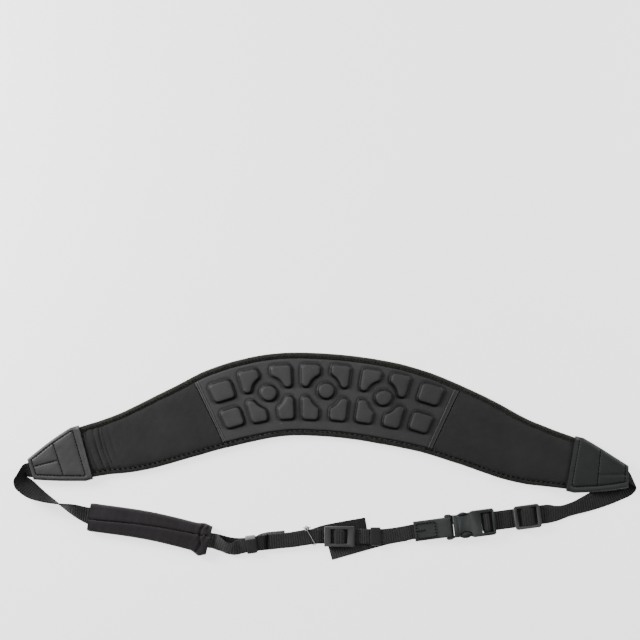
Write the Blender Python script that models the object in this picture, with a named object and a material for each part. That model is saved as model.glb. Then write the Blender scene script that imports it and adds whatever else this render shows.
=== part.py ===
"""Camera neck strap lying flat: a bound neck pad with a moulded grip panel, two end caps and the webbing loop.

Metres, +Z up. +X runs along the strap to the right and +Y from the webbing to the pad.
The origin is at the middle of the strap's outline, on the surface that it lies on.
"""

import math
from collections import namedtuple

import bmesh
import bpy
from mathutils import Vector

# Layout on the table
HALF_SPAN = 0.2386  # middle of the strap to the tip of an end cap
ARCH_RISE = 0.066  # height of the pad's arch above the tip of the right end cap
LOOP_DROP = 0.064  # how far the webbing hangs below that tip

# Clearance between neighbouring pieces
GAP = 0.0003

# Neck pad
PAD_WIDTH = 0.0664
PAD_THICKNESS = 0.0044
PAD_END_THICKNESS = 0.0034  # squeezed where the end cap holds it
PAD_INSERT = 0.022  # length inside an end cap
PAD_RISE_LENGTH = 0.022  # stretch over which it climbs into the cap
WRINKLE_HEIGHT = 0.0007
WRINKLE_PITCH = 0.0055
WRINKLE_START = 0.0045  # first wrinkle, from the mouth of the left cap
WRINKLE_COUNT = 3

# Edge binding
BINDING_THICKNESS = 0.0007
BINDING_FLANGE = 0.0042
BINDING_ROUND = 0.0008

# Grip panel and its relief
PANEL_HALF_LENGTH = 0.0968
PANEL_SHIFT = -0.0018  # the panel's middle, from the pad's middle
PAD_FAN = 0.08  # how far the panel's ends lean off square, outwards at the upper edge
PANEL_THICKNESS = 0.0012
RELIEF_HEIGHT = 0.0025
RELIEF_SHIFT = -0.0030  # the pattern's middle, from the pad's middle
RELIEF_RISE = 0.0026  # the row of round studs, from the pad's middle line
STUD_RADIUS = 0.0072
STUD_PITCH = 0.0454
RING_RADIUS = 0.0132  # concave side of a wedge, about its stud
WEDGE_INNER = 0.0044  # sides of a wedge, from its stud's middle
WEDGE_OUTER = 0.0200
UPPER_WEDGE_FOOT = 0.0022  # ends of the wedges above the stud
UPPER_WEDGE_TOP = 0.0220
LOWER_WEDGE_FOOT = 0.0034  # ends of the wedges below the stud
LOWER_WEDGE_TOP = 0.0236
TILE_DISTANCE = 0.0793  # square tiles, from the pattern's middle
TILE_WIDTH = 0.0178
TILE_GAP = 0.0056
TILE_UPPER_HEIGHT = 0.0172
TILE_LOWER_HEIGHT = 0.0168
CORNER_RADIUS = 0.0024
RELIEF_SLOPE = 0.0008  # how far the sides lean in
RELIEF_CROWN = 0.0009  # how far the rounded top edge comes in

# Leather end caps
CAP_LENGTH = 0.0462
CAP_MOUTH_WIDTH = 0.0446
CAP_TIP_WIDTH = 0.0172
CAP_SQUARE_LENGTH = 0.0064  # straight stretch behind the mouth
CAP_BULGE = 0.0007  # how far its sides bow out
CAP_LEATHER = 0.0012
CAP_LIFT_MOUTH = 0.0003
CAP_LIFT_TIP = 0.0022
CAP_RIGHT_SKEW = 0.21  # the right cap's tip is cut this far off square
CAP_SEAM_WIDTH = 0.0024  # sewn edge, thinner than the middle

# Webbing
MAIN_WIDTH = 0.015
MAIN_THICKNESS = 0.0013
LUG_WIDTH = 0.012
LUG_THICKNESS = 0.0010
WEB_INSERT = 0.014  # webbing inside an end cap

# Keepers and the thread tie
KEEPER_LENGTH = 0.008
KEEPER_WALL = 0.0010
TIE_DIAMETER = 0.0008
TIE_SLANT = 0.0056
TIE_KNOT = 0.0011

# Centre slider
SLIDER_LENGTH = 0.0242
SLIDER_END_BAR = 0.0054
SLIDER_RAIL = 0.0018
SLIDER_HEIGHT = 0.0022
SLIDER_BAR_WIDTH = 0.0030
SLIDER_BAR_HEIGHT = 0.0010
SLIDER_CORNER = 0.0010

# Wide slider
GLIDE_LENGTH = 0.0210
GLIDE_END_BAR = 0.0028
GLIDE_RAIL = 0.0017
GLIDE_HEIGHT = 0.0022
GLIDE_BAR_WIDTH = 0.0030
GLIDE_BAR_HEIGHT = 0.0010
GLIDE_CORNER = 0.0024
GLIDE_DISTANCE = 0.0459  # from the buckle's middle, along its axis
TAIL_PAST_GLIDE = 0.003

# Side release buckle, with its middle at the buckle station
SOCKET_MOUTH = 0.0098
SOCKET_BODY_END = 0.0089
SOCKET_HALF_WIDTH = 0.0105
SOCKET_NECK_HALF = 0.0075
SOCKET_HEIGHT = 0.0062
SOCKET_WALL = 0.0012
SOCKET_PLATE = 0.0014
SOCKET_WALL_START = 0.0022
SOCKET_BAR_DISTANCE = 0.0130
SOCKET_END = 0.0197
SOCKET_END_BAR = 0.0018
SOCKET_RAIL = 0.0020
SOCKET_CORNER = 0.0012
PLUG_BAR_DISTANCE = 0.0182
PLUG_BASE_START = 0.0129
PLUG_BASE_HALF = 0.0089
PLUG_BASE_LIFT = 0.0006
PLUG_EAR_HALF = 0.0102
PLUG_ARM_HALF = 0.0104
PLUG_ARM_WIDTH = 0.0032
PLUG_ARM_END = 0.0010  # where the press pads pass into the socket
PLUG_TONGUE_HALF = 0.0016
PLUG_END = 0.0060
PLUG_RAIL = 0.0020
BAR_RADIUS = 0.0012

# Leather tab of the buckle
TAB_LENGTH = 0.0270  # from the plug's bar to its square end
TAB_LEATHER = 0.0012
TAB_WIDTH = 0.0158
TAB_GRIP = 0.0165  # length of webbing held inside

# Padded sleeve over the left webbing
SLEEVE_HALF_WIDTH = 0.0113
SLEEVE_HEIGHT = 0.0066
SLEEVE_WALL = 0.0014
SLEEVE_SLIT = 0.0006
SLEEVE_ROUND = 0.0025
SLEEVE_HEM = 0.014
SLEEVE_HEM_SWELL = 1.10
SLEEVE_OVERLAP = 0.012  # half the length over which the webbings are sewn together inside

# Directions of the creases where the webbing turns back, in degrees
LEFT_CREASE = -115.0
RIGHT_CREASE = -80.0
LEFT_LEAD = 0.0070  # straight webbing between the left cap and its crease
RIGHT_LEAD = 0.0024
RIGHT_LEAN = 38.0  # how far the loose webbing leans over in the middle of a free stretch
LUG_LEAN = 40.0

# How finely the sweeps are cut
PAD_STEP = 0.0085
WEB_STEP = 0.0045
FOLD_STEPS = 8
CORNER_STEPS = 2
SPLINE_STEPS = 12

# Pad line: x as a share of HALF_SPAN, rise as a share of ARCH_RISE
PadRow = namedtuple("PadRow", "x rise")
PAD_LINE = (
    PadRow(-0.998, 0.090),
    PadRow(-0.816, 0.295),
    PadRow(-0.652, 0.435),
    PadRow(-0.491, 0.650),
    PadRow(-0.330, 0.866),
    PadRow(-0.169, 0.990),
    PadRow(-0.008, 0.988),
    PadRow(0.153, 0.918),
    PadRow(0.313, 0.782),
    PadRow(0.474, 0.567),
    PadRow(0.635, 0.321),
    PadRow(0.810, 0.161),
    PadRow(1.002, 0.000),
)

# Pad width: along as a share of the pad line from its middle to a cap's mouth, and the width of each half
# there as a share of PAD_WIDTH
WidthRow = namedtuple("WidthRow", "along left right")
PAD_WIDTHS = (
    WidthRow(0.00, 1.000, 1.000),
    WidthRow(0.24, 1.004, 0.997),
    WidthRow(0.35, 0.996, 0.965),
    WidthRow(0.45, 0.968, 0.922),
    WidthRow(0.55, 0.898, 0.886),
    WidthRow(0.65, 0.842, 0.842),
    WidthRow(0.75, 0.785, 0.790),
    WidthRow(0.85, 0.715, 0.736),
    WidthRow(0.93, 0.652, 0.672),
    WidthRow(1.00, 0.625, 0.625),
)

# Where each raised block sits off the even pattern, along the pad and towards its upper edge
StudRow = namedtuple("StudRow", "rise")
STUDS = (StudRow(0.0), StudRow(0.0010), StudRow(0.0012))
WedgeRow = namedtuple("WedgeRow", "stud side row shift rise")
WEDGES = (
    WedgeRow(0, -1, 1, 0.0006, 0.0),
    WedgeRow(0, 1, 1, -0.0008, 0.0),
    WedgeRow(0, -1, -1, 0.0002, 0.0012),
    WedgeRow(0, 1, -1, 0.0, 0.0003),
    WedgeRow(1, -1, 1, -0.0004, 0.0003),
    WedgeRow(1, 1, 1, -0.0024, 0.0012),
    WedgeRow(1, -1, -1, 0.0, 0.0),
    WedgeRow(1, 1, -1, -0.0011, 0.0006),
    WedgeRow(2, -1, 1, -0.0003, 0.0008),
    WedgeRow(2, 1, 1, -0.0030, 0.0014),
    WedgeRow(2, -1, -1, 0.0, 0.0014),
    WedgeRow(2, 1, -1, -0.0008, 0.0020),
)
TileRow = namedtuple("TileRow", "side row shift rise")
TILES = (
    TileRow(-1, 1, 0.0, 0.0),
    TileRow(-1, -1, 0.0, 0.0),
    TileRow(1, 1, 0.0, 0.0030),
    TileRow(1, -1, 0.0008, 0.0018),
)

# Webbing routes: x as a share of HALF_SPAN, drop as a share of LOOP_DROP below the right tip
TwistRow = namedtuple("TwistRow", "x drop roll")
LEFT_TWIST = (
    TwistRow(-1.0115, 0.120, 10.0),
    TwistRow(-0.985, 0.188, 32.0),
    TwistRow(-0.950, 0.256, 60.0),
    TwistRow(-0.908, 0.318, 88.0),
    TwistRow(-0.876, 0.371, 112.0),
    TwistRow(-0.844, 0.430, 142.0),
    TwistRow(-0.817, 0.478, 177.0),
)
RouteRow = namedtuple("RouteRow", "x drop level")
SLEEVE_LINE = (
    RouteRow(-0.803, 0.500, 0),
    RouteRow(-0.600, 0.612, 0),
    RouteRow(-0.400, 0.792, 0),
)
RIGHT_ROUTE = (
    RouteRow(0.979, 0.166, 0),
    RouteRow(0.943, 0.231, 0),
    RouteRow(0.905, 0.281, 0),
    RouteRow(0.868, 0.322, 0),
    RouteRow(0.826, 0.382, 0),
    RouteRow(0.788, 0.424, 0),
)
# Webbing from the sleeve through the left keeper to its free end behind the slider
LUG_LEFT_OUT = (RouteRow(-0.383, 0.806, 2.0), RouteRow(-0.332, 0.893, 1.0))
LUG_LEFT_ON = (RouteRow(-0.195, 0.816, 1.3), RouteRow(-0.129, 0.787, 1.0))
LUG_LEFT_END = (
    RouteRow(-0.012, 0.698, 0),
    RouteRow(0.050, 0.652, 0),
    RouteRow(0.126, 0.602, 0),
)
# Its second layer, which ends past the left keeper
LUG_BACK_OUT = (
    RouteRow(-0.383, 0.800, 0.6),
    RouteRow(-0.350, 0.836, 0.0),
    RouteRow(-0.318, 0.858, 0.0),
)
LUG_BACK_END = (RouteRow(-0.212, 0.792, 0), RouteRow(-0.146, 0.766, 0))
# Webbing from the buckle's tab through the right keeper and the slider to its cut end
LUG_RIGHT_TAB = (RouteRow(0.233, 0.723, 1.0),)
LUG_RIGHT_END = (
    RouteRow(-0.045, 0.745, 2.0),
    RouteRow(-0.090, 0.769, 2.0),
    RouteRow(-0.129, 0.790, 2.0),
    RouteRow(-0.206, 0.812, 2.3),
)
# Free tail below the slider
TAIL = (
    RouteRow(0.259, 0.713, 0),
    RouteRow(0.205, 0.748, 0),
    RouteRow(0.165, 0.785, 0),
    RouteRow(0.084, 0.869, 0),
    RouteRow(0.004, 0.954, 0),
)

# Hardware stations: where a piece sits on the webbing and which way it points
Station = namedtuple("Station", "x drop heading")
KEEPER_LEFT = Station(-0.260, 0.844, 8.5)
TIE = Station(-0.060, 0.748, 4.0)
SLIDER = Station(0.035, 0.744, 0.0)
KEEPER_RIGHT = Station(0.156, 0.744, 0.0)
BUCKLE = Station(0.474, 0.593, 7.6)

# Worked out from the sizes above
LAYER = max(LUG_THICKNESS, KEEPER_WALL, TIE_DIAMETER) + GAP
MAIN_LAYER = MAIN_THICKNESS + GAP
PANEL_RECESS = PANEL_THICKNESS
CAP_TIP_THICKNESS = MAIN_THICKNESS + 2 * (CAP_LEATHER + GAP)
CAP_MOUTH_THICKNESS = PAD_END_THICKNESS + 2 * (CAP_LEATHER + GAP)
BAR_WRAP = BAR_RADIUS + GAP + MAIN_THICKNESS / 2
TAB_WRAP = BAR_RADIUS + GAP + TAB_LEATHER / 2
SOCKET_BAR_LIFT = MAIN_THICKNESS / 2 + BAR_WRAP
PLUG_BAR_LIFT = TAB_LEATHER / 2 + TAB_WRAP
SLEEVE_LOW = SLEEVE_WALL + GAP


# Small helpers


def clear_scene():
    for obj in list(bpy.data.objects):
        bpy.data.objects.remove(obj, do_unlink=True)


def smoothstep(value):
    held = min(1.0, max(0.0, value))
    return held * held * (3 - 2 * held)


def between(low, high, share):
    return low + (high - low) * share


def spline(points):
    """A dense Catmull-Rom curve through the points, with heights that never overshoot."""
    ends = [2 * points[0] - points[1], *points, 2 * points[-1] - points[-2]]
    curve = []
    for before, start, end, after in zip(ends, ends[1:], ends[2:], ends[3:]):
        for step in range(SPLINE_STEPS):
            t = step / SPLINE_STEPS
            point = 0.5 * (
                2 * start
                + (end - before) * t
                + (2 * before - 5 * start + 4 * end - after) * t**2
                + (3 * start - before - 3 * end + after) * t**3
            )
            point.z = between(start.z, end.z, smoothstep(t))
            curve.append(point)
    curve.append(points[-1].copy())
    return curve


def lengths_of(curve):
    total = [0.0]
    for first, second in zip(curve, curve[1:]):
        total.append(total[-1] + (second - first).length)
    return total


def read_off(curve, totals, length):
    """The point at that length along the curve, and the direction there, also past its ends."""
    last = len(curve) - 2
    index = 0
    while index < last and totals[index + 1] < length:
        index += 1
    span = totals[index + 1] - totals[index]
    direction = (curve[index + 1] - curve[index]).normalized()
    return curve[index] + direction * (length - totals[index]), direction, span


def resample(points, step):
    """The smooth curve through the points, cut into equal steps of about that length."""
    curve = spline(points)
    totals = lengths_of(curve)
    count = max(2, round(totals[-1] / step))
    return [read_off(curve, totals, totals[-1] * i / count)[0] for i in range(count + 1)]


def row_value(rows, along, name):
    """A named column of a width table, read smoothly at that share of the length."""
    places = [row.along for row in rows]
    if along >= places[-1]:
        return getattr(rows[-1], name)
    index = max(i for i, place in enumerate(places) if place <= along)
    first, second = rows[index], rows[index + 1]
    share = (along - first.along) / (second.along - first.along)
    return between(getattr(first, name), getattr(second, name), share)


def plan_point(row):
    return Vector((row.x * HALF_SPAN, -row.drop * LOOP_DROP, 0.0))


def lug_height(level):
    return LUG_THICKNESS / 2 + level * LAYER


def lug_points(rows):
    return [plan_point(row) + Vector((0, 0, lug_height(row.level))) for row in rows]


class Place:
    """A station on the webbing: its own x runs to the right along the webbing, y across it."""

    def __init__(self, station):
        self.origin = plan_point(station)
        angle = math.radians(station.heading)
        self.along = Vector((math.cos(angle), math.sin(angle), 0))
        self.across = Vector((-math.sin(angle), math.cos(angle), 0))

    def at(self, x, y, z):
        return self.origin + self.along * x + self.across * y + Vector((0, 0, z))


class PadLine:
    """The pad's middle line: u runs along it from its middle, v across it, z up."""

    def __init__(self):
        points = [Vector((r.x * HALF_SPAN, r.rise * ARCH_RISE, 0.0)) for r in PAD_LINE]
        self.curve = spline(points)
        self.totals = lengths_of(self.curve)
        self.half = self.totals[-1] / 2
        self.mouth = self.half - CAP_LENGTH

    def direction(self, u):
        reach = PAD_STEP / 2
        ahead = read_off(self.curve, self.totals, self.half + u + reach)[0]
        behind = read_off(self.curve, self.totals, self.half + u - reach)[0]
        return (ahead - behind).normalized()

    def fan(self, u):
        """How far the lines across the pad lean: most at the panel's ends, and square at the caps."""
        past = u - PANEL_SHIFT
        if abs(past) <= PANEL_HALF_LENGTH:
            return PAD_FAN * past / PANEL_HALF_LENGTH
        left = (self.mouth - abs(u)) / (self.mouth - PANEL_HALF_LENGTH - abs(PANEL_SHIFT))
        return math.copysign(PAD_FAN * max(0.0, min(1.0, left)), u)

    def at(self, u, v, z):
        point = read_off(self.curve, self.totals, self.half + u)[0]
        along = self.direction(u)
        return point + along * (self.fan(u) * v) + Vector((-along.y, along.x, 0)) * v + Vector((0, 0, z))

    def cap_share(self, u):
        return (abs(u) - self.mouth) / CAP_LENGTH

    def cap_half(self, u):
        """Half the width of an end cap."""
        past = max(0.0, abs(u) - self.mouth - CAP_SQUARE_LENGTH)
        share = min(1.0, past / (CAP_LENGTH - CAP_SQUARE_LENGTH))
        return between(CAP_MOUTH_WIDTH, CAP_TIP_WIDTH, share) / 2 + CAP_BULGE * math.sin(math.pi * share)

    def cap_base(self, u):
        share = self.cap_share(u)
        return between(CAP_LIFT_MOUTH, CAP_LIFT_TIP, share * (2 - share))

    def cap_thickness(self, u):
        return between(CAP_MOUTH_THICKNESS, CAP_TIP_THICKNESS, self.cap_share(u))

    def pad_half(self, u):
        """Half the width of the bound pad. Inside a cap it follows the cap's taper."""
        side = "left" if u < 0 else "right"
        wide = row_value(PAD_WIDTHS, abs(u) / self.mouth, side) * PAD_WIDTH / 2
        if abs(u) <= self.mouth:
            return wide
        return min(wide, self.cap_half(u) - CAP_LEATHER - GAP)

    def pad_base(self, u):
        held = self.cap_base(u) + CAP_LEATHER + GAP
        if abs(u) >= self.mouth:
            return held
        start = self.mouth - PAD_RISE_LENGTH
        at_mouth = CAP_LIFT_MOUTH + CAP_LEATHER + GAP
        return at_mouth * smoothstep((abs(u) - start) / PAD_RISE_LENGTH)

    def pad_thickness(self, u):
        if abs(u) >= self.mouth:
            return self.cap_thickness(u) - 2 * (CAP_LEATHER + GAP)
        share = smoothstep((abs(u) - self.mouth + PAD_RISE_LENGTH) / PAD_RISE_LENGTH)
        return between(PAD_THICKNESS, PAD_END_THICKNESS, share)

    def wrinkle(self, u):
        """Height of the creases across the left end of the pad."""
        past = u + self.mouth - WRINKLE_START
        if not 0 <= past <= WRINKLE_PITCH * WRINKLE_COUNT:
            return 0.0
        return WRINKLE_HEIGHT * math.sin(math.pi * past / WRINKLE_PITCH) ** 2

    def panel_half(self, u):
        return self.pad_half(u) - BINDING_FLANGE - GAP


LINE = PadLine()


# Meshes


def material(name, colour, roughness):
    made = bpy.data.materials.get(name) or bpy.data.materials.new(name)
    made.use_nodes = True
    shader = made.node_tree.nodes["Principled BSDF"]
    shader.inputs["Base Color"].default_value = (*colour, 1.0)
    shader.inputs["Roughness"].default_value = roughness
    shader.inputs["Metallic"].default_value = 0.0
    return made


FABRIC = ("pad_fabric", (0.030, 0.030, 0.034), 0.85)
BINDING = ("edge_tape", (0.020, 0.020, 0.021), 0.90)
RUBBER = ("moulded_foam", (0.048, 0.049, 0.050), 0.60)
LEATHER = ("leatherette", (0.062, 0.062, 0.065), 0.50)
WEBBING = ("nylon_webbing", (0.026, 0.026, 0.027), 0.80)
PLASTIC = ("buckle_plastic", (0.055, 0.058, 0.059), 0.40)
THREAD = ("pale_thread", (0.220, 0.220, 0.215), 0.50)


def add_mesh(name, points, faces, look, helper=False):
    mesh = bpy.data.meshes.new(name)
    mesh.from_pydata([tuple(p) for p in points], [], faces)
    grid = bmesh.new()
    grid.from_mesh(mesh)
    bmesh.ops.recalc_face_normals(grid, faces=grid.faces)
    grid.to_mesh(mesh)
    grid.free()
    obj = bpy.data.objects.new(name, mesh)
    bpy.context.scene.collection.objects.link(obj)
    if look:
        mesh.materials.append(material(*look))
    if helper:
        obj.hide_render = True
        obj.display_type = "WIRE"
    else:
        mesh.shade_smooth()
        mesh.set_sharp_from_angle(angle=math.radians(35))
    return obj


def loft(name, rings, look, helper=False, joined=False):
    """A closed solid through rings of equally many points, with flat ends, or joined into a hoop."""
    count = len(rings[0])
    points = [p for ring in rings for p in ring]
    faces = []
    pairs = list(zip(range(len(rings)), range(1, len(rings))))
    if joined:
        pairs.append((len(rings) - 1, 0))
    for first, second in pairs:
        for i in range(count):
            j = (i + 1) % count
            faces.append((first * count + i, first * count + j, second * count + j, second * count + i))
    if not joined:
        faces.append(tuple(range(count)))
        faces.append(tuple((len(rings) - 1) * count + i for i in range(count)))
    return add_mesh(name, points, faces, look, helper)


def combine(obj, other, operation):
    step = obj.modifiers.new(f"{operation.lower()}_{other.name}", "BOOLEAN")
    step.operation = operation
    step.solver = "EXACT"
    step.object = other


def cut(obj, *cutters):
    for cutter in cutters:
        combine(obj, cutter, "DIFFERENCE")


def fuse(obj, *others):
    for other in others:
        combine(obj, other, "UNION")


def rounded_box(half_x, half_y, radius, steps=CORNER_STEPS):
    """Corners of a rounded rectangle about the origin, anticlockwise."""
    points = []
    for turn, (sx, sy) in enumerate(((1, 1), (-1, 1), (-1, -1), (1, -1))):
        for step in range(steps + 1):
            angle = math.pi / 2 * (turn + step / steps)
            points.append(
                (
                    sx * (half_x - radius) + radius * math.cos(angle),
                    sy * (half_y - radius) + radius * math.sin(angle),
                )
            )
    return points


def plate(name, place, outline, low, high, look, helper=False):
    """A flat piece of that outline, given in the place's own x and y, between two heights."""
    rings = [[place.at(x, y, z) for x, y in outline] for z in (low, high)]
    return loft(name, rings, look, helper)


def block(name, place, x_range, half_y, z_range, look=None, helper=True):
    (x0, x1), (z0, z1) = x_range, z_range
    outline = ((x0, -half_y), (x1, -half_y), (x1, half_y), (x0, half_y))
    return plate(name, place, outline, z0, z1, look, helper)


def rod(name, place, x, half_y, z, radius, sides=10):
    """A round bar across the webbing, as a helper to be fused."""
    rings = []
    for y in (-half_y, half_y):
        turn = [2 * math.pi * i / sides for i in range(sides)]
        rings.append([place.at(x + radius * math.cos(a), y, z + radius * math.sin(a)) for a in turn])
    return loft(name, rings, None, helper=True)


# Ribbons: stations with a point, a normal and, where the cross line is slanted, half of that line


Stop = namedtuple("Stop", "point normal half_line")


def ribbon(name, stations, width, thickness, look):
    rings = []
    last = len(stations) - 1
    for index, (point, normal, half) in enumerate(stations):
        if half is None:
            before = stations[max(0, index - 1)].point
            after = stations[min(last, index + 1)].point
            half = normal.cross((after - before).normalized()).normalized() * width / 2
        thick = (normal - half * (normal.dot(half) / half.length_squared)).normalized() * thickness / 2
        rings.append([point - half - thick, point + half - thick, point + half + thick, point - half + thick])
    return loft(name, rings, look)


def flat(points, up=1.0):
    return [Stop(point, Vector((0, 0, up)), None) for point in points]


def leaning(points, shares, width, lean, up=1.0):
    """Loose webbing that leans over where its share lies between 0 and 1, resting on its lower edge."""
    stations = []
    for index, (point, share) in enumerate(zip(points, shares)):
        tangent = (points[min(index + 1, len(points) - 1)] - points[max(index - 1, 0)]).normalized()
        left = Vector((-tangent.y, tangent.x, 0)).normalized()
        turn = math.radians(lean) * math.sin(math.pi * max(0.0, min(1.0, share))) ** 2
        normal = Vector((0, 0, up * math.cos(turn))) - left * up * math.sin(turn)
        stations.append(Stop(point + Vector((0, 0, abs(math.sin(turn)) * width / 2)), normal, None))
    return stations


def crease(start, heading, crease_angle, radius, width):
    """Webbing that turns back under itself round a crease lying in that direction."""
    angle = math.radians(crease_angle)
    along = Vector((math.cos(angle), math.sin(angle), 0))
    outward = heading - along * heading.dot(along)
    sine = outward.length
    advance = heading.dot(along) / sine
    outward.normalize()
    side = Vector((0, 0, 1)).cross(outward)
    half = side * (width / 2 / sine)
    stations = []
    for step in range(FOLD_STEPS + 1):
        turn = math.pi * step / FOLD_STEPS
        offset = outward * math.sin(turn) + Vector((0, 0, math.cos(turn) - 1))
        point = start + along * (advance * turn * radius) + offset * radius
        normal = outward * math.sin(turn) + Vector((0, 0, math.cos(turn)))
        stations.append(Stop(point, normal, half))
    return stations


def cap_exit(side, lead):
    """Webbing from inside an end cap to a straight lead out of its tip."""
    stations = []
    for inside in (WEB_INSERT, WEB_INSERT / 2, 0.0):
        u = side * (LINE.half - inside)
        middle = LINE.cap_base(u) + LINE.cap_thickness(u) / 2
        stations += flat([LINE.at(u, 0, middle)])
    heading = LINE.direction(side * LINE.half) * side
    tip = stations[-1].point
    return stations, tip + heading * lead, heading


def weave(points, place, bar_half, window_half, rise):
    """Lifts the points over a centre bar, between the end bars of a slider."""
    woven = []
    for point in points:
        distance = abs((point - place.origin).dot(place.along))
        share = 1 - smoothstep((distance - bar_half) / (window_half - bar_half))
        woven.append(point + Vector((0, 0, rise * share)))
    return woven


def straight(place, start, end, z, step):
    count = max(1, round(abs(end - start) / step))
    return [place.at(between(start, end, i / count), 0, z) for i in range(count + 1)]


# Neck pad


def pad_stations(limit):
    count = round(2 * limit / PAD_STEP)
    return [between(-limit, limit, i / count) for i in range(count + 1)]


def pad_rings(section):
    """Rings of the pad from end to end, close together at wrinkles and at the panel's ends."""
    end = LINE.mouth + PAD_INSERT
    recess_end = PANEL_HALF_LENGTH + GAP
    kept = [side * place for side in (-1, 1) for place in (end, LINE.mouth)]
    kept += [PANEL_SHIFT + side * place for side in (-1, 1) for place in (recess_end, recess_end + GAP)]
    start = -LINE.mouth + WRINKLE_START
    kept += [start + WRINKLE_PITCH / 4 * i for i in range(4 * WRINKLE_COUNT + 1)]
    spare = [u for u in pad_stations(end) if min(abs(u - k) for k in kept) > PAD_STEP / 4]
    return [[LINE.at(u, v, z) for v, z in section(u)] for u in sorted(kept + spare)]


def core_section(u):
    half = LINE.pad_half(u) - BINDING_THICKNESS - GAP
    inner = LINE.pad_half(u) - BINDING_FLANGE - GAP
    base, thick = LINE.pad_base(u), LINE.pad_thickness(u)
    step = BINDING_THICKNESS + GAP
    recess = PANEL_RECESS if abs(u - PANEL_SHIFT) < PANEL_HALF_LENGTH + 1.5 * GAP else 0.0
    top = base + thick - recess + LINE.wrinkle(u)
    return (
        (-half, base + step),
        (-inner, base + step),
        (-inner, base),
        (inner, base),
        (inner, base + step),
        (half, base + step),
        (half, base + thick - step),
        (inner, base + thick - step),
        (inner, top),
        (-inner, top),
        (-inner, base + thick - step),
        (-half, base + thick - step),
    )


def binding_section(u, side):
    half = LINE.pad_half(u)
    inner = half - BINDING_FLANGE
    base, thick = LINE.pad_base(u), LINE.pad_thickness(u)
    tape = BINDING_THICKNESS
    outline = (
        (inner, base),
        (half - BINDING_ROUND, base),
        (half, base + BINDING_ROUND),
        (half, base + thick - BINDING_ROUND),
        (half - BINDING_ROUND, base + thick),
        (inner, base + thick),
        (inner, base + thick - tape),
        (half - tape, base + thick - tape),
        (half - tape, base + tape),
        (inner, base + tape),
    )
    return [(side * v, z) for v, z in outline]


def build_pad():
    loft("neoprene_pad", pad_rings(core_section), FABRIC)
    for name, side in (("binding_upper", 1), ("binding_lower", -1)):
        loft(name, pad_rings(lambda u, side=side: binding_section(u, side)), BINDING)


# Grip panel and its relief


def arc(centre, radius, start, end, steps):
    return [
        (
            centre[0] + radius * math.cos(between(start, end, i / steps)),
            centre[1] + radius * math.sin(between(start, end, i / steps)),
        )
        for i in range(steps + 1)
    ]


def wedge_outline(foot, top, inset):
    """Outline of the block to the left of and above a stud at the origin, with a concave side about it."""
    radius = CORNER_RADIUS - inset / 2
    edge = inset + radius
    outer, inner = -WEDGE_OUTER + edge, -WEDGE_INNER - edge
    low, high = foot + edge, top - edge
    ring = RING_RADIUS + edge
    side_angle = math.acos(inner / ring)
    foot_angle = math.pi - math.asin(low / ring)
    side_corner = (inner, ring * math.sin(side_angle))
    foot_corner = (ring * math.cos(foot_angle), low)
    points = arc((outer, high), radius, math.pi, math.pi / 2, CORNER_STEPS)
    points += arc((inner, high), radius, math.pi / 2, 0.0, CORNER_STEPS)
    points += arc(side_corner, radius, 0.0, side_angle - math.pi, CORNER_STEPS)
    points += arc((0.0, 0.0), ring - radius, side_angle, foot_angle, 4)[1:-1]
    points += arc(foot_corner, radius, foot_angle - math.pi, -math.pi / 2, CORNER_STEPS)
    points += arc((outer, low), radius, -math.pi / 2, -math.pi, CORNER_STEPS)
    return points


def stud_outline(inset):
    return arc((0.0, 0.0), STUD_RADIUS - inset, 0.0, 2 * math.pi, 16)[:-1]


def tile_outline(height, inset):
    return rounded_box(TILE_WIDTH / 2 - inset, height / 2 - inset, CORNER_RADIUS - inset / 2)


def relief_shapes():
    """Every raised block: the function of its inset outline, its middle in u and v, and its mirroring."""
    places = [RELIEF_SHIFT + (index - (len(STUDS) - 1) / 2) * STUD_PITCH for index in range(len(STUDS))]
    shapes = [(stud_outline, u, RELIEF_RISE + row.rise, 1, 1) for u, row in zip(places, STUDS)]
    upper = lambda inset: wedge_outline(UPPER_WEDGE_FOOT, UPPER_WEDGE_TOP, inset)
    lower = lambda inset: wedge_outline(LOWER_WEDGE_FOOT, LOWER_WEDGE_TOP, inset)
    for row in WEDGES:
        wedge = upper if row.row > 0 else lower
        shapes.append((wedge, places[row.stud] + row.shift, RELIEF_RISE + row.rise, -row.side, row.row))
    for row in TILES:
        height = TILE_UPPER_HEIGHT if row.row > 0 else TILE_LOWER_HEIGHT
        tile = lambda inset, height=height: tile_outline(height, inset)
        v = RELIEF_RISE / 2 + row.row * (TILE_GAP + height) / 2 + row.rise
        shapes.append((tile, RELIEF_SHIFT + row.side * TILE_DISTANCE + row.shift, v, 1, 1))
    return shapes


def relief_block(index, shape, plate_top):
    """A raised block with leaning sides and a rounded top edge, rooted in the panel."""
    outline, u, v, mirror_u, mirror_v = shape
    root = PANEL_THICKNESS / 2
    shoulder = 0.7 * RELIEF_HEIGHT
    steps = (
        (-root, 0.0),
        (0.0, 0.0),
        (shoulder, RELIEF_SLOPE),
        (RELIEF_HEIGHT, RELIEF_SLOPE + RELIEF_CROWN),
    )
    rings = []
    for height, inset in steps:
        ring = [(u + mirror_u * x, v + mirror_v * y) for x, y in outline(inset)]
        rings.append([LINE.at(a, b, plate_top + height) for a, b in ring])
    return loft(f"relief_{index:02d}", rings, None, helper=True)


def build_panel():
    low = PAD_THICKNESS - PANEL_RECESS + GAP
    high = low + PANEL_THICKNESS
    rings = []
    for u in [PANEL_SHIFT + place for place in pad_stations(PANEL_HALF_LENGTH)]:
        half = LINE.panel_half(u) - GAP
        section = ((-half, low), (half, low), (half, high), (-half, high))
        rings.append([LINE.at(u, v, z) for v, z in section])
    panel = loft("grip_panel", rings, RUBBER)
    for index, shape in enumerate(relief_shapes()):
        fuse(panel, relief_block(index, shape, high))


# End caps


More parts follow.
